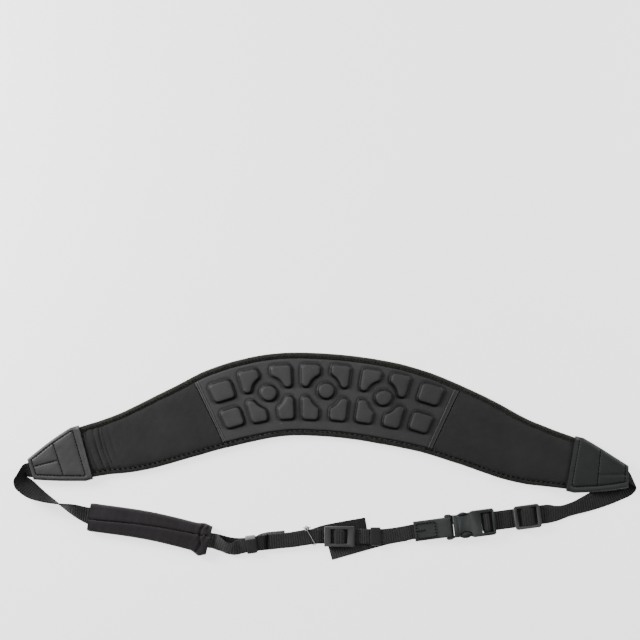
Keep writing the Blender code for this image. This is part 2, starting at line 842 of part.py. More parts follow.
def cap_section(u):
    half, base, thick = LINE.cap_half(u), LINE.cap_base(u), LINE.cap_thickness(u)
    middle = base + thick / 2
    seam = max(CAP_LEATHER, 0.30 * thick)
    inner = half - min(CAP_LEATHER, CAP_SEAM_WIDTH)
    return (
        (-half, middle - seam),
        (-inner, base),
        (inner, base),
        (half, middle - seam),
        (half, middle + seam),
        (inner, base + thick),
        (-inner, base + thick),
        (-half, middle + seam),
    )


def cap_pocket(name, side):
    """The hollow that the end of the bound pad fills."""
    start, end = LINE.mouth - PAD_RISE_LENGTH / 8, LINE.mouth + PAD_INSERT + GAP
    square = LINE.mouth + CAP_SQUARE_LENGTH
    places = [start, LINE.mouth, square, (square + end) / 2, end]
    rings = []
    for place in places:
        held = max(place, LINE.mouth)
        half = LINE.pad_half(held) + GAP
        low = LINE.cap_base(held) + CAP_LEATHER
        high = LINE.cap_base(held) + LINE.cap_thickness(held) - CAP_LEATHER
        section = ((-half, low), (half, low), (half, high), (-half, high))
        rings.append([LINE.at(side * place, v, z) for v, z in section])
    return loft(name, rings, None, helper=True)


def cap_slot(name, side):
    """The slot for the webbing at the tip."""
    rings = []
    for inside in (WEB_INSERT + GAP, 0.0, -3 * CAP_LEATHER):
        u = side * (LINE.half - inside)
        middle = LINE.cap_base(u) + LINE.cap_thickness(u) / 2
        half, thick = MAIN_WIDTH / 2 + GAP, MAIN_THICKNESS / 2 + GAP
        section = ((-half, -thick), (half, -thick), (half, thick), (-half, thick))
        rings.append([LINE.at(u, v, middle + z) for v, z in section])
    return loft(name, rings, None, helper=True)


def build_caps():
    for name, side in (("end_cap_left", -1), ("end_cap_right", 1)):
        stretch = CAP_LENGTH - CAP_SQUARE_LENGTH
        places = [LINE.mouth, LINE.mouth + CAP_SQUARE_LENGTH]
        places += [LINE.mouth + CAP_SQUARE_LENGTH + stretch * i / 4 for i in range(1, 5)]
        skew = CAP_RIGHT_SKEW if side > 0 else 0.0
        rings = []
        for u in places:
            shear = skew * smoothstep(LINE.cap_share(u))
            rings.append([LINE.at(side * u - shear * v, v, z) for v, z in cap_section(u)])
        cap = loft(name, rings, LEATHER)
        cut(cap, cap_pocket(f"{name}_pocket", side), cap_slot(f"{name}_slot", side))


# Webbing


def sleeve_curve():
    return resample([plan_point(row) for row in SLEEVE_LINE], WEB_STEP)


def left_webbing():
    """Out of the left cap, back under itself, over a half twist and into the sleeve."""
    stations, lead_end, heading = cap_exit(-1, LEFT_LEAD)
    floor = MAIN_THICKNESS / 2
    radius = (lead_end.z - floor) / 2
    stations += crease(lead_end, heading, LEFT_CREASE, radius, MAIN_WIDTH)
    half = MAIN_WIDTH / 2
    path = sleeve_curve()
    middle = path[len(path) // 2]
    ahead = (path[-1] - path[0]).normalized()
    inside = [p for p in path[1:] if (p - middle).dot(ahead) < 0]
    lift = SLEEVE_LOW + MAIN_THICKNESS / 2
    inside += [middle, middle + ahead * SLEEVE_OVERLAP / 2, middle + ahead * SLEEVE_OVERLAP]
    points = [plan_point(row) for row in LEFT_TWIST]
    rolls = [math.radians(row.roll) for row in LEFT_TWIST]
    last, _, slant = stations[-1]
    whole = [Vector((last.x, last.y, 0)), *points]
    turns = [0.0, *rolls]
    dense = spline(whole + [inside[0]])
    for index in range(1, len(dense) - 1):
        if index % (SPLINE_STEPS // 3):
            continue
        place = min(index / SPLINE_STEPS, len(turns) - 1.0)
        low = min(int(place), len(turns) - 2)
        roll = between(turns[low], turns[low + 1], place - low)
        tangent = (dense[index + 1] - dense[index - 1]).normalized()
        left = Vector((-tangent.y, tangent.x, 0))
        normal = left * math.sin(roll) - Vector((0, 0, math.cos(roll)))
        raised = smoothstep(roll / math.pi) * SLEEVE_LOW
        z = raised + half * abs(math.sin(roll)) + floor * abs(math.cos(roll))
        square = normal.cross(tangent) * half
        line = slant.lerp(square, place) if place < 1 else None
        stations.append(Stop(dense[index] + Vector((0, 0, z)), normal, line))
    stations += flat([p + Vector((0, 0, lift)) for p in inside])
    ribbon("webbing_left", stations, MAIN_WIDTH, MAIN_THICKNESS, WEBBING)


def right_webbing():
    """Out of the right cap, back under itself, through the wide slider and round the socket's bar."""
    buckle = Place(BUCKLE)
    stations, lead_end, heading = cap_exit(1, RIGHT_LEAD)
    floor = MAIN_THICKNESS / 2
    stations += crease(lead_end, heading, RIGHT_CREASE, (lead_end.z - floor) / 2, MAIN_WIDTH)
    upper = floor + MAIN_LAYER
    tail_end = GLIDE_DISTANCE + GLIDE_LENGTH / 2 + TAIL_PAST_GLIDE
    points = [plan_point(row) + Vector((0, 0, floor)) for row in RIGHT_ROUTE]
    points = [stations[-1].point, *points, buckle.at(tail_end + 2 * MAIN_LAYER, 0, upper)]
    loose = resample(points, WEB_STEP)[2:]
    shares = [(index / (len(loose) - 1) - 0.3) / 0.7 for index in range(len(loose))]
    stations += leaning(loose, shares, MAIN_WIDTH, RIGHT_LEAN, -1.0)
    glide_start, glide_end = GLIDE_DISTANCE + GLIDE_LENGTH / 2, GLIDE_DISTANCE - GLIDE_LENGTH / 2
    glide = Place(BUCKLE)
    glide.origin = buckle.at(GLIDE_DISTANCE, 0, 0)
    woven = straight(buckle, glide_start, glide_end, upper, WEB_STEP / 4)
    rise = GLIDE_BAR_HEIGHT + 2 * GAP + MAIN_THICKNESS
    window = GLIDE_LENGTH / 2 - GLIDE_END_BAR
    woven = weave(woven, glide, GLIDE_BAR_WIDTH / 2 + GAP, window, rise)
    stations += flat(woven, -1.0)
    over_bar = SOCKET_BAR_LIFT + BAR_WRAP
    end_bar = SOCKET_END - SOCKET_END_BAR
    stations += flat([buckle.at(SOCKET_END + GAP, 0, upper), buckle.at(end_bar, 0, upper)], -1.0)
    climb = end_bar - SOCKET_BAR_DISTANCE
    for share in (0.25, 0.5, 0.75):
        z = between(upper, over_bar, smoothstep(share))
        stations += flat([buckle.at(end_bar - climb * share, 0, z)], -1.0)
    for step in range(FOLD_STEPS + 1):
        turn = math.pi * step / FOLD_STEPS
        outward = Vector((0, 0, math.cos(turn))) - buckle.along * math.sin(turn)
        centre = buckle.at(SOCKET_BAR_DISTANCE, 0, SOCKET_BAR_LIFT)
        stations.append(Stop(centre + outward * BAR_WRAP, -outward, None))
    back = straight(buckle, SOCKET_BAR_DISTANCE, tail_end, floor, 2 * WEB_STEP)
    stations += flat(back[1:], 1.0)
    ribbon("webbing_right", stations, MAIN_WIDTH, MAIN_THICKNESS, WEBBING)


def keeper_points(place, level, reach):
    z = lug_height(level)
    return [place.at(x, 0, z) for x in (-reach, 0, reach)]


def lug_webbings():
    """The narrow webbings between the sleeve and the buckle's tab."""
    keeper, slider = Place(KEEPER_LEFT), Place(SLIDER)
    second, tie = Place(KEEPER_RIGHT), Place(TIE)
    reach = KEEPER_LENGTH / 2 + WEB_STEP / 2
    line = sleeve_curve()
    middle = line[len(line) // 2]
    ahead = (line[-1] - line[0]).normalized()
    high = SLEEVE_LOW + MAIN_LAYER + LUG_THICKNESS / 2
    low = SLEEVE_LOW + LUG_THICKNESS / 2
    front = [middle - ahead * SLEEVE_OVERLAP + Vector((0, 0, high))]
    front += [p + Vector((0, 0, high)) for p in (middle, line[-1])]
    front += lug_points(LUG_LEFT_OUT) + keeper_points(keeper, 2, reach)
    front += lug_points(LUG_LEFT_ON)
    front += [tie.at(share * TIE_SLANT / 2, 0, lug_height(1)) for share in (-1, 0.5)]
    front += lug_points(LUG_LEFT_END)
    front = resample(front, WEB_STEP)
    free = keeper.at(-reach, 0, 0) - line[-1]
    shares = [(p - line[-1]).dot(free) / free.length_squared for p in front]
    ribbon("lug_webbing_left", leaning(front, shares, LUG_WIDTH, LUG_LEAN), LUG_WIDTH, LUG_THICKNESS, WEBBING)

    back = [middle + ahead * (SLEEVE_OVERLAP + WEB_STEP) + Vector((0, 0, low))]
    back += [line[-1] + Vector((0, 0, low))]
    back += lug_points(LUG_BACK_OUT) + keeper_points(keeper, 1, reach) + lug_points(LUG_BACK_END)
    ribbon("lug_webbing_back", flat(resample(back, WEB_STEP)), LUG_WIDTH, LUG_THICKNESS, WEBBING)

    buckle = Place(BUCKLE)
    held = TAB_LEATHER + GAP + LUG_THICKNESS / 2
    tab_end = PLUG_BAR_DISTANCE + TAB_LENGTH
    start = [buckle.at(-tab_end + TAB_GRIP, 0, held), buckle.at(-tab_end, 0, held)]
    start += lug_points(LUG_RIGHT_TAB) + keeper_points(second, 2, reach)[::-1]
    window = SLIDER_LENGTH / 2 - SLIDER_END_BAR
    level_one = lug_height(1)
    entry = slider.at(SLIDER_LENGTH / 2, 0, level_one)
    stations = resample(start + [entry], WEB_STEP)
    woven = straight(slider, SLIDER_LENGTH / 2, -SLIDER_LENGTH / 2, level_one, WEB_STEP / 4)
    rise = SLIDER_BAR_HEIGHT + 2 * GAP + LUG_THICKNESS
    stations += weave(woven[1:], slider, SLIDER_BAR_WIDTH / 2 + GAP, window, rise)
    stations += resample([woven[-1]] + lug_points(LUG_RIGHT_END), WEB_STEP)[1:]
    ribbon("lug_webbing_right", flat(stations, 1.0), LUG_WIDTH, LUG_THICKNESS, WEBBING)

    tail = resample(lug_points(TAIL), WEB_STEP)
    ribbon("lug_webbing_tail", flat(tail), LUG_WIDTH, LUG_THICKNESS, WEBBING)


# Keepers, tie and sliders


def build_keepers():
    """Loops round two layers of the narrow webbing."""
    for name, station, floor_level, layers in (
        ("keeper_left", KEEPER_LEFT, 0, 2),
        ("keeper_right", KEEPER_RIGHT, 1, 1),
    ):
        place = Place(station)
        low = floor_level * LAYER
        inner_low = low + KEEPER_WALL
        inner_high = lug_height(floor_level + layers) + LUG_THICKNESS / 2 + GAP
        half = LUG_WIDTH / 2 + GAP
        end = KEEPER_LENGTH / 2
        outer = ((-end, end), half + KEEPER_WALL, (low, inner_high + KEEPER_WALL))
        body = block(name, place, *outer, look=LEATHER, helper=False)
        opening = ((-2 * end, 2 * end), half, (inner_low, inner_high))
        cut(body, block(f"{name}_opening", place, *opening))


def build_tie():
    """A thin thread loop with a small knot, slanting over the webbing."""
    place = Place(TIE)
    radius = TIE_DIAMETER / 2
    half = LUG_WIDTH / 2 + GAP + radius
    low, high = radius, lug_height(2) + LUG_THICKNESS / 2 + GAP + radius
    slant = TIE_SLANT / 2
    corner = TIE_DIAMETER
    path = (
        (-slant, half - corner, high),
        (-slant, half, high - corner),
        (-slant / 2, half, low + corner),
        (-slant / 2, half - corner, low),
        (slant / 2, corner - half, low),
        (slant / 2, -half, low + corner),
        (slant, -half, high - corner),
        (slant, corner - half, high),
    )
    points = [place.at(*p) for p in path]
    centre = sum(points, Vector()) / len(points)
    rings = []
    for index, point in enumerate(points):
        ahead = points[(index + 1) % len(points)] - points[index - 1]
        outward = point - centre
        outward -= ahead * (outward.dot(ahead) / ahead.length_squared)
        outward.normalize()
        side = ahead.normalized().cross(outward)
        turn = [2 * math.pi * i / 6 for i in range(6)]
        rings.append([point + (outward * math.cos(a) + side * math.sin(a)) * radius for a in turn])
    tie = loft("thread_tie", rings, THREAD, joined=True)
    knot_at = place.at(-slant, half + TIE_KNOT / 2, high)
    shape = bmesh.new()
    bmesh.ops.create_icosphere(shape, subdivisions=1, radius=TIE_KNOT)
    points = [v.co + knot_at for v in shape.verts]
    faces = [tuple(v.index for v in face.verts) for face in shape.faces]
    shape.free()
    fuse(tie, add_mesh("tie_knot", points, faces, None, helper=True))


def build_slider(name, place, sizes, web, lift):
    """A frame with one centre bar: the webbing runs under its end bars and over the bar."""
    length, end_bar, rail, height, bar_width, bar_height, corner = sizes
    half = web / 2 + GAP + rail
    frame = plate(name, place, rounded_box(length / 2, half, corner), lift, lift + height, PLASTIC)
    window = length / 2 - end_bar
    inner = web / 2 + GAP
    for side, (x0, x1) in (("left", (-window, -bar_width / 2)), ("right", (bar_width / 2, window))):
        cut(frame, block(f"{name}_{side}", place, (x0, x1), inner, (lift - height, lift + 2 * height)))
    over_bar = (lift + bar_height, lift + 2 * height)
    cut(frame, block(f"{name}_over", place, (-bar_width, bar_width), inner, over_bar))


def build_sliders():
    sizes = (
        SLIDER_LENGTH,
        SLIDER_END_BAR,
        SLIDER_RAIL,
        SLIDER_HEIGHT,
        SLIDER_BAR_WIDTH,
        SLIDER_BAR_HEIGHT,
        SLIDER_CORNER,
    )
    lift = lug_height(1) + LUG_THICKNESS / 2 + GAP
    build_slider("slider_centre", Place(SLIDER), sizes, LUG_WIDTH, lift)
    sizes = (
        GLIDE_LENGTH,
        GLIDE_END_BAR,
        GLIDE_RAIL,
        GLIDE_HEIGHT,
        GLIDE_BAR_WIDTH,
        GLIDE_BAR_HEIGHT,
        GLIDE_CORNER,
    )
    place = Place(BUCKLE)
    place.origin = place.at(GLIDE_DISTANCE, 0, 0)
    lift = 2 * MAIN_LAYER
    build_slider("slider_wide", place, sizes, MAIN_WIDTH, lift)


# Buckle and its leather tab


def socket_outline():
    """Plan of the socket: a neck between the finger recesses, then the full width."""
    neck, wide = SOCKET_NECK_HALF, SOCKET_HALF_WIDTH
    mouth, start = -SOCKET_MOUTH, SOCKET_WALL_START
    steps = 5
    upper = []
    for i in range(steps + 1):
        share = i / steps
        bow = 1 - math.cos(share * math.pi / 2)
        upper.append((between(mouth, start, share), between(neck, wide, bow)))
    upper += [(SOCKET_END - SOCKET_CORNER, wide), (SOCKET_END, wide - SOCKET_CORNER)]
    return upper + [(x, -y) for x, y in reversed(upper)]


def build_socket():
    place = Place(BUCKLE)
    body = plate("buckle_socket", place, socket_outline(), 0.0, SOCKET_HEIGHT, PLASTIC)
    body_end = SOCKET_BODY_END
    tunnel = ((-2 * SOCKET_MOUTH, body_end - SOCKET_WALL), SOCKET_HALF_WIDTH - SOCKET_WALL)
    tunnel_z = (SOCKET_PLATE, SOCKET_HEIGHT - SOCKET_PLATE)
    web_half = MAIN_WIDTH / 2 + GAP
    end = SOCKET_END - SOCKET_END_BAR
    upper = MAIN_THICKNESS + MAIN_LAYER + GAP
    low_top = upper + GLIDE_HEIGHT
    whole = (-SOCKET_HEIGHT, 2 * SOCKET_HEIGHT)
    cut(
        body,
        block("socket_tunnel", place, *tunnel, tunnel_z),
        block("socket_slot", place, (body_end, end), web_half + GAP, whole),
        block("socket_web_way", place, (SOCKET_BAR_DISTANCE, 2 * SOCKET_END), web_half, (-SOCKET_HEIGHT, upper)),
        block("socket_low_end", place, (end - GAP, 2 * SOCKET_END), 2 * SOCKET_END, (low_top, 2 * SOCKET_HEIGHT)),
    )
    bar = rod("socket_bar", place, SOCKET_BAR_DISTANCE, web_half + SOCKET_RAIL / 2, SOCKET_BAR_LIFT, BAR_RADIUS)
    fuse(body, bar)


def plug_outline():
    """Plan of the plug's arms and tongue, from its base into the socket."""
    base, tip = -PLUG_BASE_START + 2 * GAP, PLUG_END
    inside = SOCKET_HALF_WIDTH - SOCKET_WALL - GAP
    arm_inner = PLUG_ARM_HALF - PLUG_ARM_WIDTH
    tongue = PLUG_TONGUE_HALF
    root = -SOCKET_MOUTH + SOCKET_CORNER
    bulge = -(PLUG_ARM_END + SOCKET_MOUTH) / 2
    upper = [
        (base, PLUG_BASE_HALF - SOCKET_CORNER),
        (-SOCKET_MOUTH, PLUG_BASE_HALF),
        (bulge - SOCKET_CORNER, PLUG_ARM_HALF),
        (bulge + SOCKET_CORNER, PLUG_ARM_HALF),
        (-PLUG_ARM_END, inside),
        (tip - SOCKET_CORNER, inside),
        (tip, inside - SOCKET_CORNER),
        (tip, arm_inner),
        (root + SOCKET_CORNER, arm_inner - SOCKET_CORNER),
        (root, arm_inner - 2 * SOCKET_CORNER),
        (root, tongue),
        (tip - SOCKET_CORNER, tongue),
    ]
    return upper + [(x, -y) for x, y in reversed(upper)]


def build_plug():
    place = Place(BUCKLE)
    lift = SOCKET_PLATE + GAP
    top = SOCKET_HEIGHT - SOCKET_PLATE - GAP
    plug = plate("buckle_plug", place, plug_outline(), lift, top, PLASTIC)
    base_half = PLUG_BASE_HALF
    mouth = -SOCKET_MOUTH - GAP
    base = ((-PLUG_BASE_START, mouth), base_half, (PLUG_BASE_LIFT, SOCKET_HEIGHT - PLUG_BASE_LIFT))
    web_half = TAB_WIDTH / 2 + GAP
    ear_half = PLUG_EAR_HALF
    far, near = -PLUG_BAR_DISTANCE - PLUG_RAIL, -PLUG_BASE_START + GAP
    outline = (
        (far, ear_half - PLUG_RAIL / 2),
        (far + PLUG_RAIL / 2, ear_half),
        (-PLUG_BAR_DISTANCE + PLUG_RAIL, ear_half),
        (near, base_half - GAP),
        (near, GAP - base_half),
        (-PLUG_BAR_DISTANCE + PLUG_RAIL, -ear_half),
        (far + PLUG_RAIL / 2, -ear_half),
        (far, PLUG_RAIL / 2 - ear_half),
    )
    ears = plate("plug_ears", place, outline, PLUG_BAR_LIFT - BAR_RADIUS, PLUG_BAR_LIFT + BAR_RADIUS, None, helper=True)
    slot = block("plug_slot", place, (2 * far, GAP - PLUG_BASE_START), web_half, (-SOCKET_HEIGHT, 2 * SOCKET_HEIGHT))
    bar = rod("plug_bar", place, -PLUG_BAR_DISTANCE, web_half + PLUG_RAIL / 2, PLUG_BAR_LIFT, BAR_RADIUS)
    fuse(plug, block("plug_base", place, *base), ears)
    cut(plug, slot)
    fuse(plug, bar)


def build_tab():
    """Leather folded round the plug's bar, with the end of the webbing between its leaves."""
    place = Place(BUCKLE)
    end, bar = -PLUG_BAR_DISTANCE - TAB_LENGTH, -PLUG_BAR_DISTANCE
    low = TAB_LEATHER / 2
    high = low + TAB_LEATHER + 2 * GAP + LUG_THICKNESS
    grip_end = end + TAB_GRIP + GAP
    over = PLUG_BAR_LIFT + TAB_WRAP
    stations = flat(straight(place, end, grip_end, high, 2 * WEB_STEP))
    climb = bar - grip_end
    for share in (0.25, 0.5, 0.75):
        z = between(high, over, smoothstep(share))
        stations += flat([place.at(grip_end + climb * share, 0, z)])
    for step in range(FOLD_STEPS + 1):
        turn = math.pi * step / FOLD_STEPS
        outward = Vector((0, 0, math.cos(turn))) + place.along * math.sin(turn)
        stations.append(Stop(place.at(bar, 0, PLUG_BAR_LIFT) + outward * TAB_WRAP, outward, None))
    stations += flat(straight(place, bar, end, low, 2 * WEB_STEP)[1:], -1.0)
    ribbon("buckle_tab", stations, TAB_WIDTH, TAB_LEATHER, LEATHER)


# Padded sleeve


def sleeve_section(scale, slit_at):
    """A flattened tube, open along a narrow slit on top, as (across, height) pairs."""
    half, middle = SLEEVE_HALF_WIDTH * scale, SLEEVE_HEIGHT / 2 * scale
    walls = []
    for wall, radius in ((0.0, SLEEVE_ROUND), (SLEEVE_WALL, SLEEVE_ROUND - SLEEVE_WALL)):
        corners = rounded_box(half - wall, middle - wall, radius)
        first = CORNER_STEPS + 1
        top = middle - wall
        start, end = (slit_at - SLEEVE_SLIT / 2, top), (slit_at + SLEEVE_SLIT / 2, top)
        walls.append([start, *corners[first:], *corners[:first], end])
    return [(v, z + middle) for v, z in walls[0] + walls[1][::-1]]


def build_sleeve():
    line = sleeve_curve()
    totals = lengths_of(line)
    rings = []
    last = len(line) - 1
    for index, point in enumerate(line):
        ahead = (line[min(last, index + 1)] - line[max(0, index - 1)]).normalized()
        across = Vector((-ahead.y, ahead.x, 0))
        left = totals[-1] - totals[index]
        swell = 1.0
        if left < SLEEVE_HEM:
            swell = between(1.0, SLEEVE_HEM_SWELL, math.sin(math.pi * min(1.0, 1.3 - left / SLEEVE_HEM)) ** 2)
        slit = between(-0.16, 0.27, totals[index] / totals[-1]) * SLEEVE_HALF_WIDTH
        section = sleeve_section(swell, slit)
        rings.append([point + across * v + Vector((0, 0, z)) for v, z in section])
    loft("grip_sleeve", rings, FABRIC)


def centre_on_floor():
    """Moves the whole strap so that the origin is under the middle of its outline."""
    bpy.context.view_layer.update()
    graph = bpy.context.evaluated_depsgraph_get()
    corners = []
    shown = [o for o in bpy.data.objects if o.type == "MESH" and not o.hide_render]
    for obj in shown:
        held = obj.evaluated_get(graph)
        corners += [held.matrix_world @ v.co for v in held.data.vertices]
    low = Vector([min(c[i] for c in corners) for i in range(3)])
    high = Vector([max(c[i] for c in corners) for i in range(3)])
    root = bpy.data.objects.new("strap", None)
    bpy.context.scene.collection.objects.link(root)
    for obj in [o for o in bpy.data.objects if o.type == "MESH"]:
        obj.parent = root
    root.location = (-(low.x + high.x) / 2, -(low.y + high.y) / 2, -low.z)


def main():
    clear_scene()
    build_pad()
    build_panel()
    build_caps()
    left_webbing()
    right_webbing()
    lug_webbings()
    build_keepers()
    build_tie()
    build_sliders()
    build_socket()
    build_plug()
    build_tab()
    build_sleeve()
    centre_on_floor()


main()
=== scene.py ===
"""Looks for the camera neck strap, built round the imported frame."""

import math
from collections import namedtuple

import bmesh
import bpy
import numpy as np
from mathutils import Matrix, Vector


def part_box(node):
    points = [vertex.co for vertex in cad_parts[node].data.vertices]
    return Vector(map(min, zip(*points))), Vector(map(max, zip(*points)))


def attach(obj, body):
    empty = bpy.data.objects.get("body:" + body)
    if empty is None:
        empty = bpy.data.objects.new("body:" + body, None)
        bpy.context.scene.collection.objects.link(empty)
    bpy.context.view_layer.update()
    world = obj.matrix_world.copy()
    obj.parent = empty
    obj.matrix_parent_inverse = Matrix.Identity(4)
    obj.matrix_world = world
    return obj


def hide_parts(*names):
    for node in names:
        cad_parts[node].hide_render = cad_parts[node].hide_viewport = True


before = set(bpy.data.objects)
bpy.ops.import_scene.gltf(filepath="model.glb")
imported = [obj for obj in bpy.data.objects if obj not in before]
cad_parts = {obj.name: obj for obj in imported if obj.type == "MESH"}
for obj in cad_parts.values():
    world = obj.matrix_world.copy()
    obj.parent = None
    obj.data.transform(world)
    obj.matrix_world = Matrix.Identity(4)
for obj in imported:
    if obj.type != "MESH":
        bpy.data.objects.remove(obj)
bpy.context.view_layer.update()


def table(kind, *values):
    """One named row for each group of values."""
    return tuple(kind(*group) for group in values)


# Layout on the table
HALF_SPAN = 0.2386  # middle of the strap to the tip of an end cap
ARCH_RISE = 0.066  # height of the pad's arch above the tip of the right end cap
LOOP_DROP = 0.064  # how far the webbing hangs below that tip

# Clearance between neighbouring pieces
GAP = 0.0003

# Neck pad
PAD_WIDTH = 0.0664
PAD_THICKNESS = 0.0044
PAD_END_THICKNESS = 0.0034  # squeezed where the end cap holds it
PAD_INSERT = 0.022  # length inside an end cap
PAD_RISE_LENGTH = 0.022  # stretch over which it climbs into the cap

# Edge binding
BINDING_THICKNESS = 0.0007
BINDING_FLANGE = 0.0042

# Grip panel and its relief
PANEL_HALF_LENGTH = 0.0968
PANEL_SHIFT = -0.0018  # the panel's middle, from the pad's middle
PAD_FAN = 0.08  # how far the panel's ends lean off square, outwards at the upper edge
PANEL_THICKNESS = 0.0012
RELIEF_HEIGHT = 0.0025
RELIEF_SHIFT = -0.0030  # the pattern's middle, from the pad's middle
RELIEF_RISE = 0.0026  # the row of round studs, from the pad's middle line
STUD_RADIUS = 0.0072
STUD_PITCH = 0.0454
RING_RADIUS = 0.0132  # concave side of a wedge, about its stud
WEDGE_INNER = 0.0044  # sides of a wedge, from its stud's middle
WEDGE_OUTER = 0.0200
UPPER_WEDGE_FOOT = 0.0022  # ends of the wedges above the stud
UPPER_WEDGE_TOP = 0.0220
LOWER_WEDGE_FOOT = 0.0034  # ends of the wedges below the stud
LOWER_WEDGE_TOP = 0.0236
TILE_DISTANCE = 0.0793  # square tiles, from the pattern's middle
TILE_WIDTH = 0.0178
TILE_GAP = 0.0056
TILE_UPPER_HEIGHT = 0.0172
TILE_LOWER_HEIGHT = 0.0168
CORNER_RADIUS = 0.0034

# Leather end caps
CAP_LENGTH = 0.0462
CAP_MOUTH_WIDTH = 0.0446
CAP_TIP_WIDTH = 0.0172
CAP_SQUARE_LENGTH = 0.0064  # straight stretch behind the mouth
CAP_BULGE = 0.0007  # how far its sides bow out
CAP_LEATHER = 0.0012
CAP_LIFT_MOUTH = 0.0003
CAP_LIFT_TIP = 0.0022
CAP_RIGHT_SKEW = 0.21  # the right cap's tip is cut this far off square

# Webbing
MAIN_WIDTH = 0.015
MAIN_THICKNESS = 0.0013
LUG_WIDTH = 0.012
LUG_THICKNESS = 0.0010

# Keepers and the thread tie
KEEPER_LENGTH = 0.008
KEEPER_WALL = 0.0010
TIE_DIAMETER = 0.0008
TIE_SLANT = 0.0056
TIE_KNOT = 0.0011

# The two sliders
Bars = namedtuple("Bars", "length end_bar rail height bar_width bar_height corner")
CENTRE_BARS = Bars(0.0242, 0.0054, 0.0018, 0.0022, 0.0030, 0.0010, 0.0010)
WIDE_BARS = Bars(0.0210, 0.0028, 0.0017, 0.0022, 0.0030, 0.0010, 0.0024)
GLIDE_DISTANCE = 0.0459  # from the buckle's middle, along its axis
TAIL_PAST_GLIDE = 0.003

# Side release buckle, with its middle at the buckle station
SOCKET_HEIGHT = 0.0062
SOCKET_BAR_DISTANCE = 0.0130
SOCKET_END = 0.0197
SOCKET_END_BAR = 0.0018
PLUG_BAR_DISTANCE = 0.0182
BAR_RADIUS = 0.0012

# Leather tab of the buckle
TAB_LENGTH = 0.0270  # from the plug's bar to its square end
TAB_LEATHER = 0.0012
TAB_WIDTH = 0.0158
TAB_GRIP = 0.0165  # length of webbing held inside
TAB_THREAD = 0.00052  # radius of its stitches

# Padded sleeve over the left webbing
SLEEVE_HALF_WIDTH = 0.0113
SLEEVE_HEIGHT = 0.0066
SLEEVE_WALL = 0.0014
SLEEVE_SLIT = 0.0006
SLEEVE_ROUND = 0.0025
SLEEVE_HEM = 0.014
SLEEVE_OVERLAP = 0.012  # half the length over which the webbings are sewn together inside

# How far the narrow webbing leans over between the sleeve and the left keeper, in degrees
LUG_LEAN = 40.0

# Ribs across the webbing
WEBBING_RIB = 0.0019
RIB_RISE = 0.00009

# How finely the pieces are cut: points along (rows) and round or across (columns)
PAD_ROWS, PAD_COLUMNS, CREASED_ROWS = 360, 61, 100
TAPE_ROWS = 560
SEAM_ROWS = 900
PANEL_ROWS, PANEL_COLUMNS = 520, 150
CAP_ROWS, CAP_COLUMNS = 116, 91
SLEEVE_ROWS, SLEEVE_CORNER_STEPS = 170, 13
RIBBON_COLUMNS, BAND_COLUMNS = 15, 13
STITCH_RINGS, STITCH_SIDES = 5, 6
KNOT_ROWS, THREAD_SIDES = 90, 10

# How finely the sweeps are cut
PAD_STEP = 0.0085
WEB_STEP = 0.0045
FOLD_STEPS = 8
CORNER_STEPS = 2
SPLINE_STEPS = 12

# Pad line: x as a share of HALF_SPAN, rise as a share of ARCH_RISE
PadRow = namedtuple("PadRow", "x rise")
PAD_LINE = table(
    PadRow,
    (-0.998, 0.090), (-0.816, 0.295), (-0.652, 0.435), (-0.491, 0.650), (-0.330, 0.866),
    (-0.169, 0.990), (-0.008, 0.988), (0.153, 0.918), (0.313, 0.782), (0.474, 0.567), (0.635, 0.321),
    (0.810, 0.161), (1.002, 0.000),
)

# Pad width: along as a share of the pad line from its middle to a cap's mouth, and the width of each half
# there as a share of PAD_WIDTH
WidthRow = namedtuple("WidthRow", "along left right")
PAD_WIDTHS = table(
    WidthRow,
    (0.00, 1.000, 1.000), (0.24, 1.004, 0.997), (0.35, 0.996, 0.965), (0.45, 0.968, 0.922),
    (0.55, 0.898, 0.886), (0.65, 0.842, 0.842), (0.75, 0.785, 0.790), (0.85, 0.715, 0.736),
    (0.93, 0.652, 0.672), (1.00, 0.625, 0.625),
)

# Where each raised block sits off the even pattern, along the pad and towards its upper edge
StudRow = namedtuple("StudRow", "rise")
STUDS = (StudRow(0.0), StudRow(0.0010), StudRow(0.0012))
WedgeRow = namedtuple("WedgeRow", "stud side row shift rise")
WEDGES = table(
    WedgeRow,
    (0, -1, 1, 0.0006, 0.0), (0, 1, 1, -0.0008, 0.0), (0, -1, -1, 0.0002, 0.0012),
    (0, 1, -1, 0.0, 0.0003), (1, -1, 1, -0.0004, 0.0003), (1, 1, 1, -0.0024, 0.0012),
    (1, -1, -1, 0.0, 0.0), (1, 1, -1, -0.0011, 0.0006), (2, -1, 1, -0.0003, 0.0008),
    (2, 1, 1, -0.0030, 0.0014), (2, -1, -1, 0.0, 0.0014), (2, 1, -1, -0.0008, 0.0020),
)
TileRow = namedtuple("TileRow", "side row shift rise")
TILES = table(
    TileRow,
    (-1, 1, 0.0, 0.0), (-1, -1, 0.0, 0.0), (1, 1, 0.0, 0.0030), (1, -1, 0.0008, 0.0018),
)

# Webbing routes: x as a share of HALF_SPAN, drop as a share of LOOP_DROP below the right tip
RouteRow = namedtuple("RouteRow", "x drop level")
SLEEVE_LINE = (
    RouteRow(-0.803, 0.500, 0),
    RouteRow(-0.600, 0.612, 0),
    RouteRow(-0.400, 0.792, 0),
)
# Webbing from the sleeve through the left keeper to its free end behind the slider
LUG_LEFT_OUT = (RouteRow(-0.383, 0.806, 2.0), RouteRow(-0.332, 0.893, 1.0))
LUG_LEFT_ON = (RouteRow(-0.195, 0.816, 1.3), RouteRow(-0.129, 0.787, 1.0))
LUG_LEFT_END = (
    RouteRow(-0.012, 0.698, 0),
    RouteRow(0.050, 0.652, 0),
    RouteRow(0.126, 0.602, 0),
)
